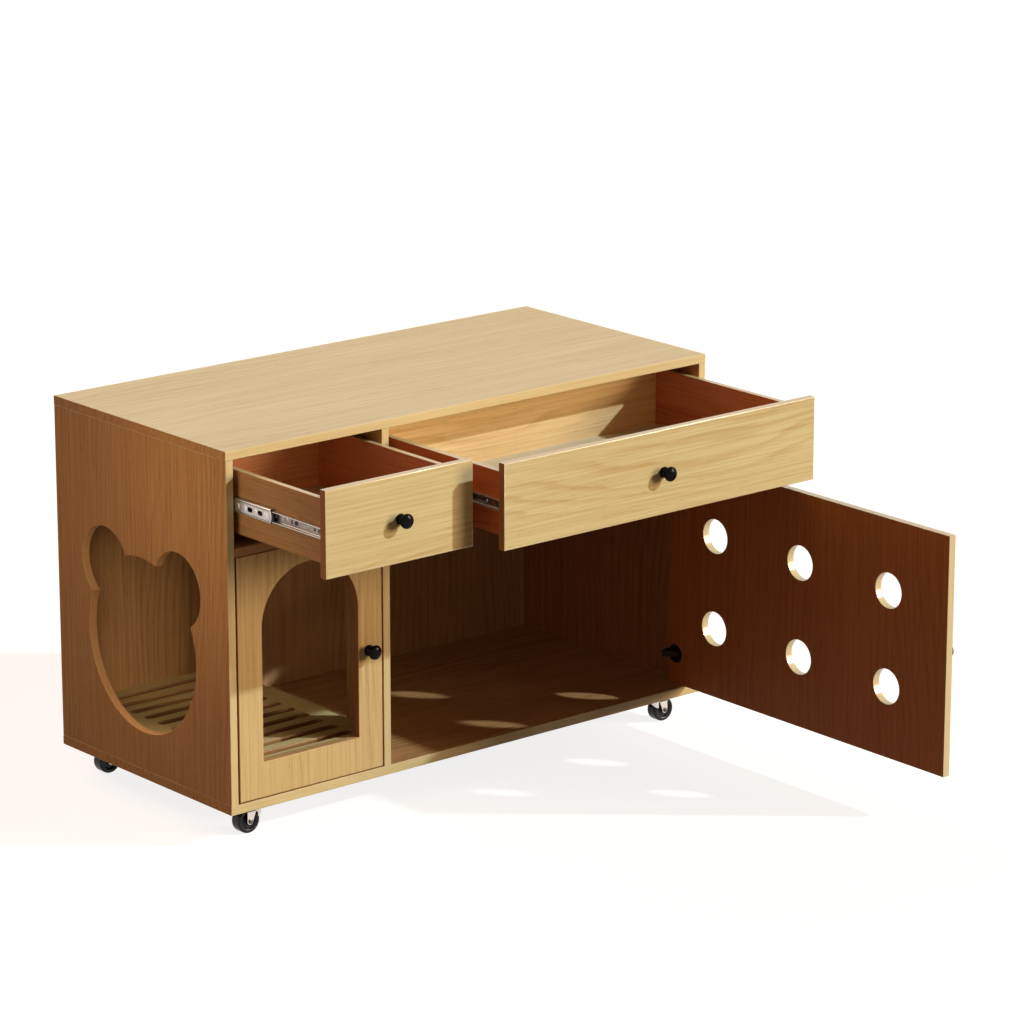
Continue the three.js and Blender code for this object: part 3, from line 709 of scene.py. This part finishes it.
# Painted light and shade: the drawers' inside faces are a paler copy of the oak for the sunlit large drawer;
# the small drawer's back is a redder copy for its shade.
OAK_DRAWER_INSIDE_PAINTED_LIGHT = laminate("oak_drawer_inside_painted_light", (0.79, 0.61, 0.33), (0.57, 0.385, 0.165), 0.4, 0.7)
OAK_DRAWER_WARM_PAINTED_SHADE = laminate("oak_drawer_warm_painted_shade", (0.70, 0.33, 0.17), (0.50, 0.19, 0.085), 0.4, 0.7)
OAK_DRAWER_FLOOR = laminate("oak_drawer_floor", (0.74, 0.71, 0.55), (0.60, 0.53, 0.38), 0.2, 0.4)
EDGE_PALE = laminate("edge_pale", (0.66, 0.55, 0.305), (0.53, 0.41, 0.20), 0.15, 0.3, 0.8, 0.13)
EDGE_CARCASS = laminate("edge_carcass", (0.62, 0.52, 0.285), (0.50, 0.385, 0.185), 0.15, 0.3, 0.3, 0.34)
# Painted shade: edges that lie in shade, round the arch, on the back and on the grate rails, are a darker
# copy of the edge band.
EDGE_DEEP_PAINTED_SHADE = laminate("edge_deep_painted_shade", (0.56, 0.37, 0.17), (0.40, 0.24, 0.09), 0.2, 0.3, 0.45, 0.25)
# Painted shade: the shelves' front edges, under the drawers, are a darker, redder copy of the edge band.
EDGE_SHELF_PAINTED_SHADE = laminate("edge_shelf_painted_shade", (0.46, 0.25, 0.115), (0.34, 0.165, 0.07), 0.2, 0.3, 0.2, 0.45)
# Painted light: the entrance's rim is a brighter, golden copy of the edge band.
EDGE_ENTRANCE_PAINTED_LIGHT = laminate("edge_entrance_painted_light", (0.84, 0.52, 0.26), (0.68, 0.38, 0.17), 0.2, 0.3)
# Painted shade: edges that face left are a dark, red copy of the edge band.
EDGE_SIDE_PAINTED_SHADE = laminate("edge_side_painted_shade", (0.34, 0.135, 0.042), (0.24, 0.088, 0.026), 0.2, 0.4)
# Painted shade: the walls of the grate's slots are a dark copy of the edge band.
EDGE_SLOT_PAINTED_SHADE = laminate("edge_slot_painted_shade", (0.34, 0.19, 0.075), (0.22, 0.11, 0.04), 0.2, 0.4, 0.5, 0.3)

# Each plastic has its colour, its roughness, the spread and scale of that, and its specular level
KNOB_BLACK = plastic("knob_black", (0.0022, 0.0022, 0.0025), 0.13, 0.06, 60.0, 0.07)
WHEEL_BLACK = plastic("wheel_black", (0.006, 0.006, 0.007), 0.27, 0.12, 80.0, 0.24)
CLIP_BLACK = plastic("clip_black", (0.008, 0.007, 0.007), 0.42, 0.10, 200.0, 0.3)
# The hinges' colour is a dark coating with a red tint of painted shade from the cup holes.
HINGE_COATING_AND_SHADE = plastic("hinge_coating_and_painted_shade", (0.016, 0.006, 0.0035), 0.55, 0.10, 90.0, 0.06)

# Each metal has its bright and dull tones and how closely its rolled lines lie on X, Y and Z
RAIL_LINES = (900.0, 8.0, 900.0)
SCREW_LINES = (300.0, 300.0, 300.0)
ZINC_RAIL = metal("zinc_rail", (0.72, 0.68, 0.64), (0.46, 0.42, 0.39), RAIL_LINES)
# Painted shade: the rails' webs are darker copies of the zinc plating, and the inner rail's is darkest.
ZINC_MIDDLE_PAINTED_SHADE = metal("zinc_middle_painted_shade", (0.56, 0.52, 0.48), (0.30, 0.27, 0.25), RAIL_LINES)
ZINC_WEB_PAINTED_SHADE = metal("zinc_web_painted_shade", (0.34, 0.30, 0.27), (0.14, 0.12, 0.11), RAIL_LINES)
ZINC_SCREW = metal("zinc_screw", (0.72, 0.71, 0.70), (0.50, 0.48, 0.45), SCREW_LINES)
CASTER_STEEL = metal("caster_steel", (0.74, 0.69, 0.67), (0.52, 0.47, 0.45), (120.0, 120.0, 500.0))
SCREW_DARK = metal("screw_dark", (0.10, 0.09, 0.08), (0.05, 0.045, 0.04), SCREW_LINES)


# ---------- Boards ----------

GRATE_UNDERSIDE = 134.5
LEFT_BAY = (17.0, 368.5)
RIGHT_BAY = (385.5, 1183.0)
LEFT_MIDDLE = sum(LEFT_BAY) / 2
RIGHT_MIDDLE = sum(RIGHT_BAY) / 2
DOOR_THICKNESS = 17.0
RIGHT_DOOR_INSIDE = 1147.9
DRAWER_LEVEL = 669
SMALL_PULL = 276
LARGE_PULL = 340
CUP_RADIUS = 17.5
LEFT_CUP_ACROSS = 41.5
RIGHT_CUP_DEEP = 22.4
LEFT_HINGE_HEIGHTS = (191, 454)
RIGHT_HINGE_HEIGHTS = (145.5, 499.5)
VENT_DEPTHS = (-586.9, -339.6, -92.3)
VENT_HEIGHTS = (225.25, 419.75)
VENT_RADIUS = 35.6


def entrance_loop():
    """A round head with two round ears: arcs of three circles that meet where these cross."""
    deep, level, head = 282.0, 331.7, 175.5
    spread, rise, ear = 118.0, 136.0, 76.0
    between = math.hypot(spread, rise)
    toward = math.degrees(math.atan2(rise, spread))
    from_head = math.degrees(math.acos((between ** 2 + head ** 2 - ear ** 2) / (2 * between * head)))
    from_ear = math.degrees(math.acos((between ** 2 + ear ** 2 - head ** 2) / (2 * between * ear)))
    rear_ear = (toward - 180 + from_ear, toward + 180 - from_ear)
    front_ear = (-toward + from_ear, 360 - toward - from_ear)
    loop = circle(deep, level, head, 180 - toward + from_head, 360 + toward - from_head, 150)
    loop += circle(deep + spread, level + rise, ear, *rear_ear, 60)[1:-1]
    loop += circle(deep, level, head, toward + from_head, 180 - toward - from_head, 20)
    loop += circle(deep - spread, level + rise, ear, *front_ear, 60)[1:-1]
    return loop


def passage_loop():
    """The way through the divider, with round upper corners."""
    front, rear, top, r = 117.5, 442.5, 515.0, 60.0
    corners = circle(rear - r, top - r, r, 0, 90, 16) + circle(front + r, top - r, r, 90, 180, 16)
    return [(front, GRATE_UNDERSIDE), (rear, GRATE_UNDERSIDE)] + corners


def arch_loop():
    r, sill, spring = 114.5, 151.5, 413.5
    return [(LEFT_MIDDLE - r, sill), (LEFT_MIDDLE + r, sill)] + circle(LEFT_MIDDLE, spring, r, 0, 180, 64)


def vent_loops():
    return [circle(y, z, VENT_RADIUS, steps=64) for y in VENT_DEPTHS for z in VENT_HEIGHTS]


def slot_loops():
    """The grate's slots. The first is cut back beside the notch."""
    half_width, pitch, cut_back = 9.5, 45.8, 12
    left, right, front = 72.5, 313, 45
    starts = [left + cut_back] + [left] * 10
    return [circle(start, front + pitch * k, half_width, 90, 270, 12)
            + circle(right, front + pitch * k, half_width, -90, 90, 12) for k, start in enumerate(starts)]


def grate_outline():
    """The grate, with a notch at its front left corner that the left door's hinge edge swings through."""
    left, right, front, rear = 18, 367.5, 20, 545
    notch_right, notch_rear = 63.5, 47.33
    return [(notch_right, front), (right, front), (right, rear), (left, rear), (left, notch_rear),
            (notch_right, notch_rear)]


def make_boards():
    board("top_panel", "X", OAK_SIDE_PAINTED_SHADE, OAK_TOP_PAINTED_SHEEN, EDGE_CARCASS, radius=1.2)
    board("bottom_panel", "X", OAK_SIDE_PAINTED_SHADE, OAK_FLOOR_PAINTED_SHADE, EDGE_CARCASS)
    board("left_side_panel", "Z", OAK_SIDE_PAINTED_SHADE, OAK_INNER_PAINTED_SHADE, EDGE_CARCASS, [entrance_loop()], rim=EDGE_ENTRANCE_PAINTED_LIGHT)
    board("right_side_panel", "Z", OAK_INNER_RED_PAINTED_SHADE, OAK_FRONT, EDGE_CARCASS)
    board("back_panel", "Z", OAK_INNER_PAINTED_SHADE, OAK_FRONT, EDGE_DEEP_PAINTED_SHADE)
    board("divider_panel", "Z", OAK_INNER_PAINTED_SHADE, OAK_INNER_PAINTED_SHADE, EDGE_CARCASS, [passage_loop()])
    board("left_shelf", "X", OAK_INNER_PAINTED_SHADE, OAK_INNER_PAINTED_SHADE, EDGE_SHELF_PAINTED_SHADE)
    board("right_shelf", "X", OAK_INNER_PAINTED_SHADE, OAK_INNER_PAINTED_SHADE, EDGE_SHELF_PAINTED_SHADE)
    board("left_door", "Z", OAK_DOOR, OAK_INNER_PAINTED_SHADE, EDGE_DEEP_PAINTED_SHADE, [arch_loop()], radius=2.0,
          bores=[circle(LEFT_CUP_ACROSS, z, CUP_RADIUS, steps=40) for z in LEFT_HINGE_HEIGHTS])
    board("right_door", "Z", OAK_DOOR_INNER_PAINTED_SHADE, OAK_FRONT, EDGE_PALE, vent_loops(),
          bores=[circle(RIGHT_CUP_DEEP, z, CUP_RADIUS, steps=40) for z in RIGHT_HINGE_HEIGHTS],
          bored_high=False)
    board("litter_grate", "X", OAK_INNER_PAINTED_SHADE, OAK_FRONT, EDGE_SLOT_PAINTED_SHADE, slot_loops(), grate_outline(), radius=1.5)
    board("left_grate_rail", "Y", OAK_INNER_PAINTED_SHADE, OAK_INNER_PAINTED_SHADE, EDGE_DEEP_PAINTED_SHADE)
    board("right_grate_rail", "Y", OAK_INNER_PAINTED_SHADE, OAK_INNER_PAINTED_SHADE, EDGE_DEEP_PAINTED_SHADE)
    for size in ("small", "large"):
        # The outer left sides take the painted-shade copies of the oak.
        outside = OAK_DRAWER_PAINTED_SHADE if size == "small" else OAK_DRAWER_DEEP_PAINTED_SHADE
        board(f"{size}_drawer_front", "X", OAK_FRONT, OAK_DRAWER_INSIDE_PAINTED_LIGHT, EDGE_PALE, radius=2.0)
        board(f"{size}_drawer_left_side", "Y", outside, OAK_DRAWER_INSIDE_PAINTED_LIGHT, EDGE_PALE)
        board(f"{size}_drawer_right_side", "Y", OAK_DRAWER_RED_PAINTED_SHADE, OAK_DRAWER_INSIDE_PAINTED_LIGHT, EDGE_PALE)
        # The small drawer's back takes the painted-shade copy and the large one's takes the painted-light
        # copy.
        inside = OAK_DRAWER_WARM_PAINTED_SHADE if size == "small" else OAK_DRAWER_INSIDE_PAINTED_LIGHT
        board(f"{size}_drawer_back", "X", inside, OAK_DRAWER_INSIDE_PAINTED_LIGHT, EDGE_PALE)
        board(f"{size}_drawer_bottom", "X", OAK_SIDE_PAINTED_SHADE, OAK_DRAWER_FLOOR, EDGE_PALE, radius=0.3)


make_boards()


# ---------- Screws and knobs ----------

def screw_head(radius, height):
    """A pan head with a cross recess, standing on the plane z = 0, and the floor of the recess."""
    arm, half = radius * 0.58, radius * 0.16
    quarters = ((1, 0), (0, 1), (-1, 0), (0, -1))
    cross = [(x * c - y * s, x * s + y * c) for c, s in quarters
             for x, y in ((arm, -half), (arm, half), (half, half))]
    head = slab_mesh(circle(0, 0, radius), [], height * 0.55, height * 0.1)
    crown = slab_mesh(circle(0, 0, radius * 0.97), [cross], height * 0.5, height * 0.42, 3)
    return [(head, SAME), (crown, Matrix.Translation((0, 0, height * 0.5)))]


def screws(spots, direction, radius, height, tag):
    """Screw heads in a row, each with its recess turned another way."""
    first_turn, turn_step = 20, 37
    parts = []
    for i, spot in enumerate(spots):
        recess_turn = Matrix.Rotation(math.radians(first_turn + turn_step * i), 4, "Z")
        place = Matrix.Translation(spot) @ turned_to(direction) @ recess_turn
        parts += [(mesh, place @ matrix, tag) for mesh, matrix in screw_head(radius, height)]
    return parts


# (radius, height) from the foot up. True marks a corner.
KNOB = [(0, 0, True), (10.4, 0, True), (10.9, 0.6), (11.0, 2.0), (10.7, 4.6), (9.9, 7.2), (8.7, 9.6),
        (8.2, 11.4), (9.3, 13.2), (12.0, 14.9), (14.0, 17.3), (14.5, 19.8), (13.4, 22.6), (10.2, 24.9),
        (5.2, 26.2), (0, 26.5)]
KNOB_GAP = 0.3
DOOR_KNOB_HEIGHT = 322.5


def make_knobs():
    knob = lathe_mesh(smooth_profile(KNOB, 4), 56)
    right_door_face = RIGHT_DOOR_INSIDE + DOOR_THICKNESS
    for owner, spot, out in (
            ("small_drawer", (LEFT_MIDDLE, -SMALL_PULL - KNOB_GAP, DRAWER_LEVEL), (0, -1, 0)),
            ("large_drawer", (RIGHT_MIDDLE, -LARGE_PULL - KNOB_GAP, DRAWER_LEVEL), (0, -1, 0)),
            ("left_door", (332.5, -KNOB_GAP, DOOR_KNOB_HEIGHT), (0, -1, 0)),
            ("right_door", (right_door_face + KNOB_GAP, -714.6, DOOR_KNOB_HEIGHT), (1, 0, 0))):
        hardware(f"{owner}_knob", [(knob, SAME, 0)], [KNOB_BLACK], at(*spot), turned_to(out))


make_knobs()


# ---------- Drawer slides ----------
# Local X is the distance from the wall, Y runs back from the rail's front end, Z is up.

SHEET = 1.2
OUTER_LENGTH = 450
MIDDLE_LENGTH = 430
INNER_LENGTH = 436


def along_rail(back):
    """Local Z towards the rail's front end, from a place at the back."""
    return columns((1, 0, 0), (0, 0, 1), (0, -1, 0), (0, back, 0))


def flange_loop(web, lip, half, bend, track):
    """The section of a rail's upper flange with its bend into the web and the track of its balls."""
    side = 1 if lip > web else -1
    reach = abs(lip - web) - bend
    waves = [k / 8 for k in range(9)]

    def dip(share):
        return track * math.sin(math.pi * share) ** 2

    outer = [(bend + reach * (1 - u), half - dip(u)) for u in waves]
    outer += circle(bend, half - bend, bend, 90, 180, 4)[1:]
    outer.append((0, half - bend - 1.5))
    inner = [(SHEET, half - bend - 1.5)]
    inner += circle(bend, half - bend, bend - SHEET, 180, 90, 4)[:-1]
    inner += [(bend + reach * u, half - SHEET - dip(1 - u)) for u in waves]
    loop = [Vector((web + side * x, z)) for x, z in outer + inner]
    return loop if signed_area(loop) > 0 else loop[::-1]


def prism_mesh(loop, length):
    """A loop drawn out along local Z from 0 to a length."""
    n = len(loop)
    verts = [Vector((p.x, p.y, z)) for z in (0, length) for p in loop]
    faces = ring_faces(0, n, 2)
    for a, b, c in tessellate_polygon([[Vector((p.x, p.y, 0)) for p in loop]]):
        turn = (loop[b] - loop[a]).cross(loop[c] - loop[a])
        low, high = ((a, c, b), (a, b, c)) if turn > 0 else ((a, b, c), (a, c, b))
        faces += [low, tuple(n + i for i in high)]
    return verts, faces


def both_ways_up(mesh, length, tag):
    """A piece that runs along the rail, and its mirror image below."""
    return [(mesh, turn @ along_rail(length), tag) for turn in (SAME, UPSIDE_DOWN)]


def flanges(web, lip, half, bend, track, length):
    return both_ways_up(prism_mesh(flange_loop(web, lip, half, bend, track), length), length, 0)


def obround(y, z, length, width):
    """A hole with two round ends, along Y where it is longer than wide and along Z where it isn't."""
    half = abs(length - width) / 2
    if length >= width:
        return circle(y + half, z, width / 2, -90, 90, 10) + circle(y - half, z, width / 2, 90, 270, 10)
    return circle(y, z + half, length / 2, 0, 180, 10) + circle(y, z - half, length / 2, 180, 360, 10)


def rail_web(web, half, length, holes, tag, bulge=0.0):
    """The flat back of a rail, with its front end bowed out by the bulge."""
    front = [(-bulge * (1 - (k / 6) ** 2), -half * k / 6) for k in range(-6, 7)]
    outline = front + [(length, -half), (length, half)]
    return slab_mesh(outline, holes, SHEET, 0.25), stood_at(web), tag


def pressed_bump(length, width, height, web, y, tag):
    """A bump risen from a rail's web towards the wall."""
    return dome_mesh(length, width, height), columns((0, 1, 0), (0, 0, -1), (-1, 0, 0), (web, y, 0)), tag


def make_slide(label, hand, wall, mirror, pulled):
    def add_rail(rail, parts, materials, front):
        spot = at(wall, front, DRAWER_LEVEL)
        hardware(f"{label}_drawer_{hand}_{rail}_rail", parts, materials, spot, mirror=mirror)

    # The cabinet's rail
    screwed_at = (52, 262, 388)
    holes = [obround(y, 0, 9, 5.5) for y in (35, 150, 300, 415)] + [obround(y, 0, 5.5, 11) for y in (70, 245)]
    holes += [circle(y, 0, 3.6) for y in screwed_at]
    parts = [rail_web(0, 15.0, OUTER_LENGTH, holes, 0), *flanges(0, 9.65, 17.5, 2.2, 0.5, OUTER_LENGTH)]
    parts += screws([(0.1, y, 0) for y in screwed_at], (1, 0, 0), 3.3, 0.9, 1)
    add_rail("outer", parts, [ZINC_RAIL, ZINC_SCREW], 18)

    # The middle rail, its ball cages and the black catch at its front end
    web = 1.9
    holes = [obround(y, 0, 15, 9) for y in (31, 62)] + [obround(y, 0, 9, 6) for y in (140, 215, 290, 365)]
    parts = [rail_web(web, 11.2, MIDDLE_LENGTH, holes, 2, bulge=3.2),
             *flanges(web, 10.85, 13.8, 2.6, 0.6, MIDDLE_LENGTH)]
    parts += [pressed_bump(9, 12, 0.6, web, y, 0) for y in (14, 46, 78, 100)]
    bead = [Vector((2.2, -3.4 * (1 - (z / 11) ** 2), z)) for z in range(-11, 12)]
    parts.append((sweep_mesh(bead, 0.75), SAME, 0))
    for inner, outer, front, back in ((10.5, 12.4, 0, 412), (13.9, 15.4, 150, 420)):
        cage = slab_mesh([(4.6, inner), (10, inner), (10, outer), (4.6, outer)], [], back - front, 0.2)
        parts += both_ways_up(cage, back, 1)
    catch = slab_mesh([(-8, -7.2), (-5.5, -8.4), (14, -8.4), (14, 8.4), (-5.5, 8.4), (-8, 7.2)],
                      [obround(-1, 0, 7, 4)], 3.6, 0.6)
    tongue = slab_mesh([(-7, 3.2), (10, 3.2), (10, 8.0), (-7, 6.6)], [], 1.8, 0.4)
    parts += [(catch, stood_at(3.3), 1), (tongue, stood_at(6.6), 1)]
    add_rail("middle", parts, [ZINC_RAIL, CLIP_BLACK, ZINC_MIDDLE_PAINTED_SHADE], 28 - pulled / 2)

    # The drawer's rail, open towards the wall
    web = 11.55
    holes = [obround(y, 0, 7, 7) for y in (26, 132)] + [obround(y, 0, 5, 12) for y in (95, 320)]
    holes += [obround(y, 0, 12, 5) for y in (180, 390)]
    parts = [rail_web(web, 8.2, INNER_LENGTH, holes, 2), *flanges(12.75, 3.8, 10.3, 2.0, 0.4, INNER_LENGTH)]
    bumps = ((57, 30, 10), (111, 12, 12), (152, 20, 10), (225, 44, 10), (285, 20, 10), (355, 32, 10),
             (415, 14, 10))
    parts += [pressed_bump(length, width, 1.5, 11.6, y, 2) for y, length, width in bumps]
    parts += screws([(web, y, 0) for y in (12, 82, 205, 340)], (-1, 0, 0), 4.2, 1.5, 1)
    add_rail("inner", parts, [ZINC_RAIL, SCREW_DARK, ZINC_WEB_PAINTED_SHADE], 17 - pulled)


for label, bay, pulled in (("small", LEFT_BAY, SMALL_PULL), ("large", RIGHT_BAY, LARGE_PULL)):
    make_slide(label, "left", bay[0], False, pulled)
    make_slide(label, "right", bay[1], True, pulled)


# ---------- Cup hinges ----------

# (radius, height) of the pressed cup, from the middle of its floor outwards and back along the inside
CUP = [(0, 0.2), (16.4, 0.2), (17.2, 1.0), (17.2, 12.8), (19.2, 12.8), (19.5, 13.1), (19.5, 13.4),
       (19.1, 13.8), (16.9, 13.8), (16.0, 13.0), (16.0, 2.6), (14.6, 1.4), (0, 1.4), (0, 1.2)]
PIN_ACROSS = 49.5
PIN_DEEP = 14.4


def make_hinge(door, level, cup_spot, cup_out, pin_across, z, mirror):
    node = f"{door}_door_{level}_hinge"
    turn = turned_to(cup_out)
    pin_spot = at(pin_across, PIN_DEEP, z)
    to_pin = turn.inverted() @ (pin_spot - at(*cup_spot)) / MM
    pin = [to_pin + turn.inverted() @ Vector((0, 0, k)) for k in (-13.5, 0, 13.5)]
    parts = [(lathe_mesh(CUP, 64), SAME, 0), (sweep_mesh(pin, 1.5, 14), SAME, 0)]
    hardware(f"{node}_cup", parts, [HINGE_COATING_AND_SHADE], at(*cup_spot), turn, suffix="pressed")

    # The arm is drawn round its pin: X towards the cabinet's side, Y towards the back
    inner, outer, lift, end = 32.93, 35.43, 135.0, 24.9
    half_in, half_out, eye, eye_gap = 2.17, 2.02, 3.6, 20.3
    outline = circle(0, 0, eye, lift + eye_gap - 360, lift - eye_gap, 28)
    outline += circle(0, 0, inner, end, lift - half_in, 28)[::-1]
    outline += circle(0, 0, outer, end, lift + half_out, 28)
    strap = slab_mesh(outline, [], 12, 0.5)
    foot_face = 29.5
    foot = slab_mesh([(13.8, -18), (15.8, -20), (47.4, -20), (49.4, -18), (49.4, 18), (47.4, 20), (15.8, 20),
                      (13.8, 18)], [obround(32, 0, 11, 5)], 3, 0.5)
    parts = [(strap, Matrix.Translation((0, 0, -6)), 0), (foot, stood_at(foot_face), 0)]
    parts += screws([(foot_face, y, up) for y, up in ((31.6, 14), (31.6, -14), (42.5, 0))], (-1, 0, 0),
                    3.6, 1.4, 1)
    hardware(f"{node}_arm", parts, [HINGE_COATING_AND_SHADE, SCREW_DARK], pin_spot, mirror=mirror, suffix="bent")


left_cup_floor = DOOR_THICKNESS - CUP_BORE_DEPTH
right_cup_floor = RIGHT_DOOR_INSIDE + CUP_BORE_DEPTH
right_pin = CABINET_WIDTH - PIN_ACROSS
for level, z in zip(("lower", "upper"), LEFT_HINGE_HEIGHTS):
    make_hinge("left", level, (LEFT_CUP_ACROSS, left_cup_floor, z), (0, 1, 0), PIN_ACROSS, z, True)
for level, z in zip(("lower", "upper"), RIGHT_HINGE_HEIGHTS):
    make_hinge("right", level, (right_cup_floor, RIGHT_CUP_DEEP, z), (-1, 0, 0), right_pin, z, False)


# ---------- Casters ----------
# Local X is the way the wheel trails from the swivel, Z is up from the floor.

# (radius, half width) of the wheel, from its bore to the middle of its tread
WHEEL = [(4.2, 10.6), (7.4, 10.6), (8.0, 10.0), (8.4, 8.8), (9.2, 8.4), (13.6, 8.4), (14.6, 8.8),
         (16.6, 11.2), (17.8, 12.0), (19.4, 12.4), (21.2, 12.5), (22.8, 12.2), (24.1, 11.3), (24.8, 9.8),
         (25.0, 7.5), (25.0, 0.0)]
AXLE_HEIGHT = 25
TRAIL = 18
CASTER_FROM_SIDE = 87
PLATE_UNDERSIDE = 57.5


def rounded_rectangle(x, y, corner):
    loop = []
    for k, (i, j) in enumerate(CORNERS):
        loop += circle(i * (x - corner), j * (y - corner), corner, 90 * k, 90 * k + 90, 6)
    return loop


def hood_mesh():
    """The wall of the fork that wraps round behind the swivel, lowest beside the legs."""
    steps, top = 24, 52.4
    verts, faces = [], []
    for k in range(steps + 1):
        share = k / steps
        t = math.pi * (0.5 + share)
        low = 47.0 - 15.0 * abs(math.cos(math.pi * share)) ** 1.6
        for radius, height in ((16.6, top), (16.6, low + 0.5), (16.1, low), (15.2, low), (14.8, low + 0.5),
                               (14.8, top)):
            bow = 2.4 * (1 - share) * share
            verts.append(Vector((radius * math.cos(t) + bow, radius * math.sin(t), height)))
    for k in range(steps):
        for i in range(5):
            a, b = 6 * k + i, 6 * (k + 1) + i
            faces.append((a, a + 1, b + 1, b))
    faces += [tuple(range(6))[::-1], tuple(range(6 * steps, 6 * steps + 6))]
    return verts, faces


def make_caster_plate(label, spot, turn):
    screwed_at = [(i * 25, j * 17) for i, j in CORNERS]
    holes = [circle(u, v, 2.6, steps=16) for u, v in screwed_at]
    plate = slab_mesh(rounded_rectangle(32, 24, 5), holes, 2.5, 0.4)
    race = [(0, 53.5), (14.5, 53.5), (16.4, 54.0), (17.0, 55.0), (17.0, 57.0), (15.5, 58.0), (0, 58.0)]
    pin = [(0, 49.3), (4.6, 49.3), (5.8, 49.8), (6.0, 50.6), (4.0, 50.8), (4.0, 54.0), (0, 54.0)]
    parts = [(plate, Matrix.Translation((0, 0, PLATE_UNDERSIDE)), 0), (lathe_mesh(race, 40), SAME, 0),
             (lathe_mesh(pin, 28), SAME, 0)]
    parts += screws([(u, v, PLATE_UNDERSIDE) for u, v in screwed_at], (0, 0, -1), 4.4, 2.0, 1)
    hardware(f"{label}_caster_plate", parts, [CASTER_STEEL, ZINC_SCREW], spot, turn)


def make_caster_fork(label, spot, turn):
    """A round crown, a bent bridge and two legs that taper to the axle."""
    crown = [(4.2, 51.0), (16.2, 51.0), (17.0, 51.6), (17.0, 52.7), (16.3, 53.2), (4.2, 53.2), (4.2, 51.0)]
    bend = 2.6
    outside = [(-16, 44.0)] + circle(bend - 16, 53.2 - bend, bend, 180, 90, 6)
    inside = [(-13.5, 44.0), (-13.5, 50.4), (-12.9, 51.0)]
    arch = outside + [(-u, v) for u, v in outside[::-1]] + [(-u, v) for u, v in inside] + inside[::-1]
    arch = [Vector(point) for point in arch]
    bridge = prism_mesh(arch if signed_area(arch) > 0 else arch[::-1], 22)
    leg = [(24.0, 49.0), (2.0, 49.0), (4.2, 43.5)] + circle(TRAIL, AXLE_HEIGHT, 6.8, 180, 360, 20)
    blade = slab_mesh(leg, [], 2.5, 0.55)
    nut = slab_mesh(circle(0, 0, 5.2, 10, 370, 6), [], 2.0, 0.5)
    tip = lathe_mesh([(0, 0), (2.7, 0), (2.7, 2.3), (1.9, 2.9), (0, 2.9)], 20)
    axle = lathe_mesh([(0, -15), (4, -15), (4, 15), (0, 15)], 24)
    parts = [(lathe_mesh(crown, 48), SAME, 0), (bridge, stood_at(2), 0),
             (axle, columns((1, 0, 0), (0, 0, 1), (0, -1, 0), (TRAIL, 0, AXLE_HEIGHT)), 0),
             (hood_mesh(), SAME, 0)]
    for end in (-1, 1):
        upright = columns((1, 0, 0), (0, 0, 1), (0, end, 0), (0, end * 13.5, 0))
        outward = columns((1, 0, 0), (0, 0, 1), (0, end, 0), (TRAIL, end * 15.9, AXLE_HEIGHT))
        parts += [(blade, upright, 0), (nut, outward, 1), (tip, outward, 1)]
    hardware(f"{label}_caster_fork", parts, [CASTER_STEEL, SCREW_DARK], spot, turn)


def make_caster(label, x, y, heading):
    turn = Matrix.Rotation(math.radians(heading), 4, "Z")
    make_caster_plate(label, at(x, y, 0), turn)
    make_caster_fork(label, at(x, y, 0), turn)
    half = smooth_profile(WHEEL, 3)
    tyre = [(r, -h) for r, h in half] + [(r, h) for r, h in half[::-1]]
    trail = TRAIL if heading == 0 else -TRAIL
    wheel = lathe_mesh(tyre + tyre[:1], 72)
    hardware(f"{label}_caster_wheel", [(wheel, SAME, 0)], [WHEEL_BLACK], at(x + trail, y, AXLE_HEIGHT),
             Matrix.Rotation(math.radians(90), 4, "X"))


for end, deep in (("front", 50), ("rear", 510)):
    make_caster(f"{end}_left", CASTER_FROM_SIDE, deep, 180)
    make_caster(f"{end}_right", CABINET_WIDTH - CASTER_FROM_SIDE, deep, 0)
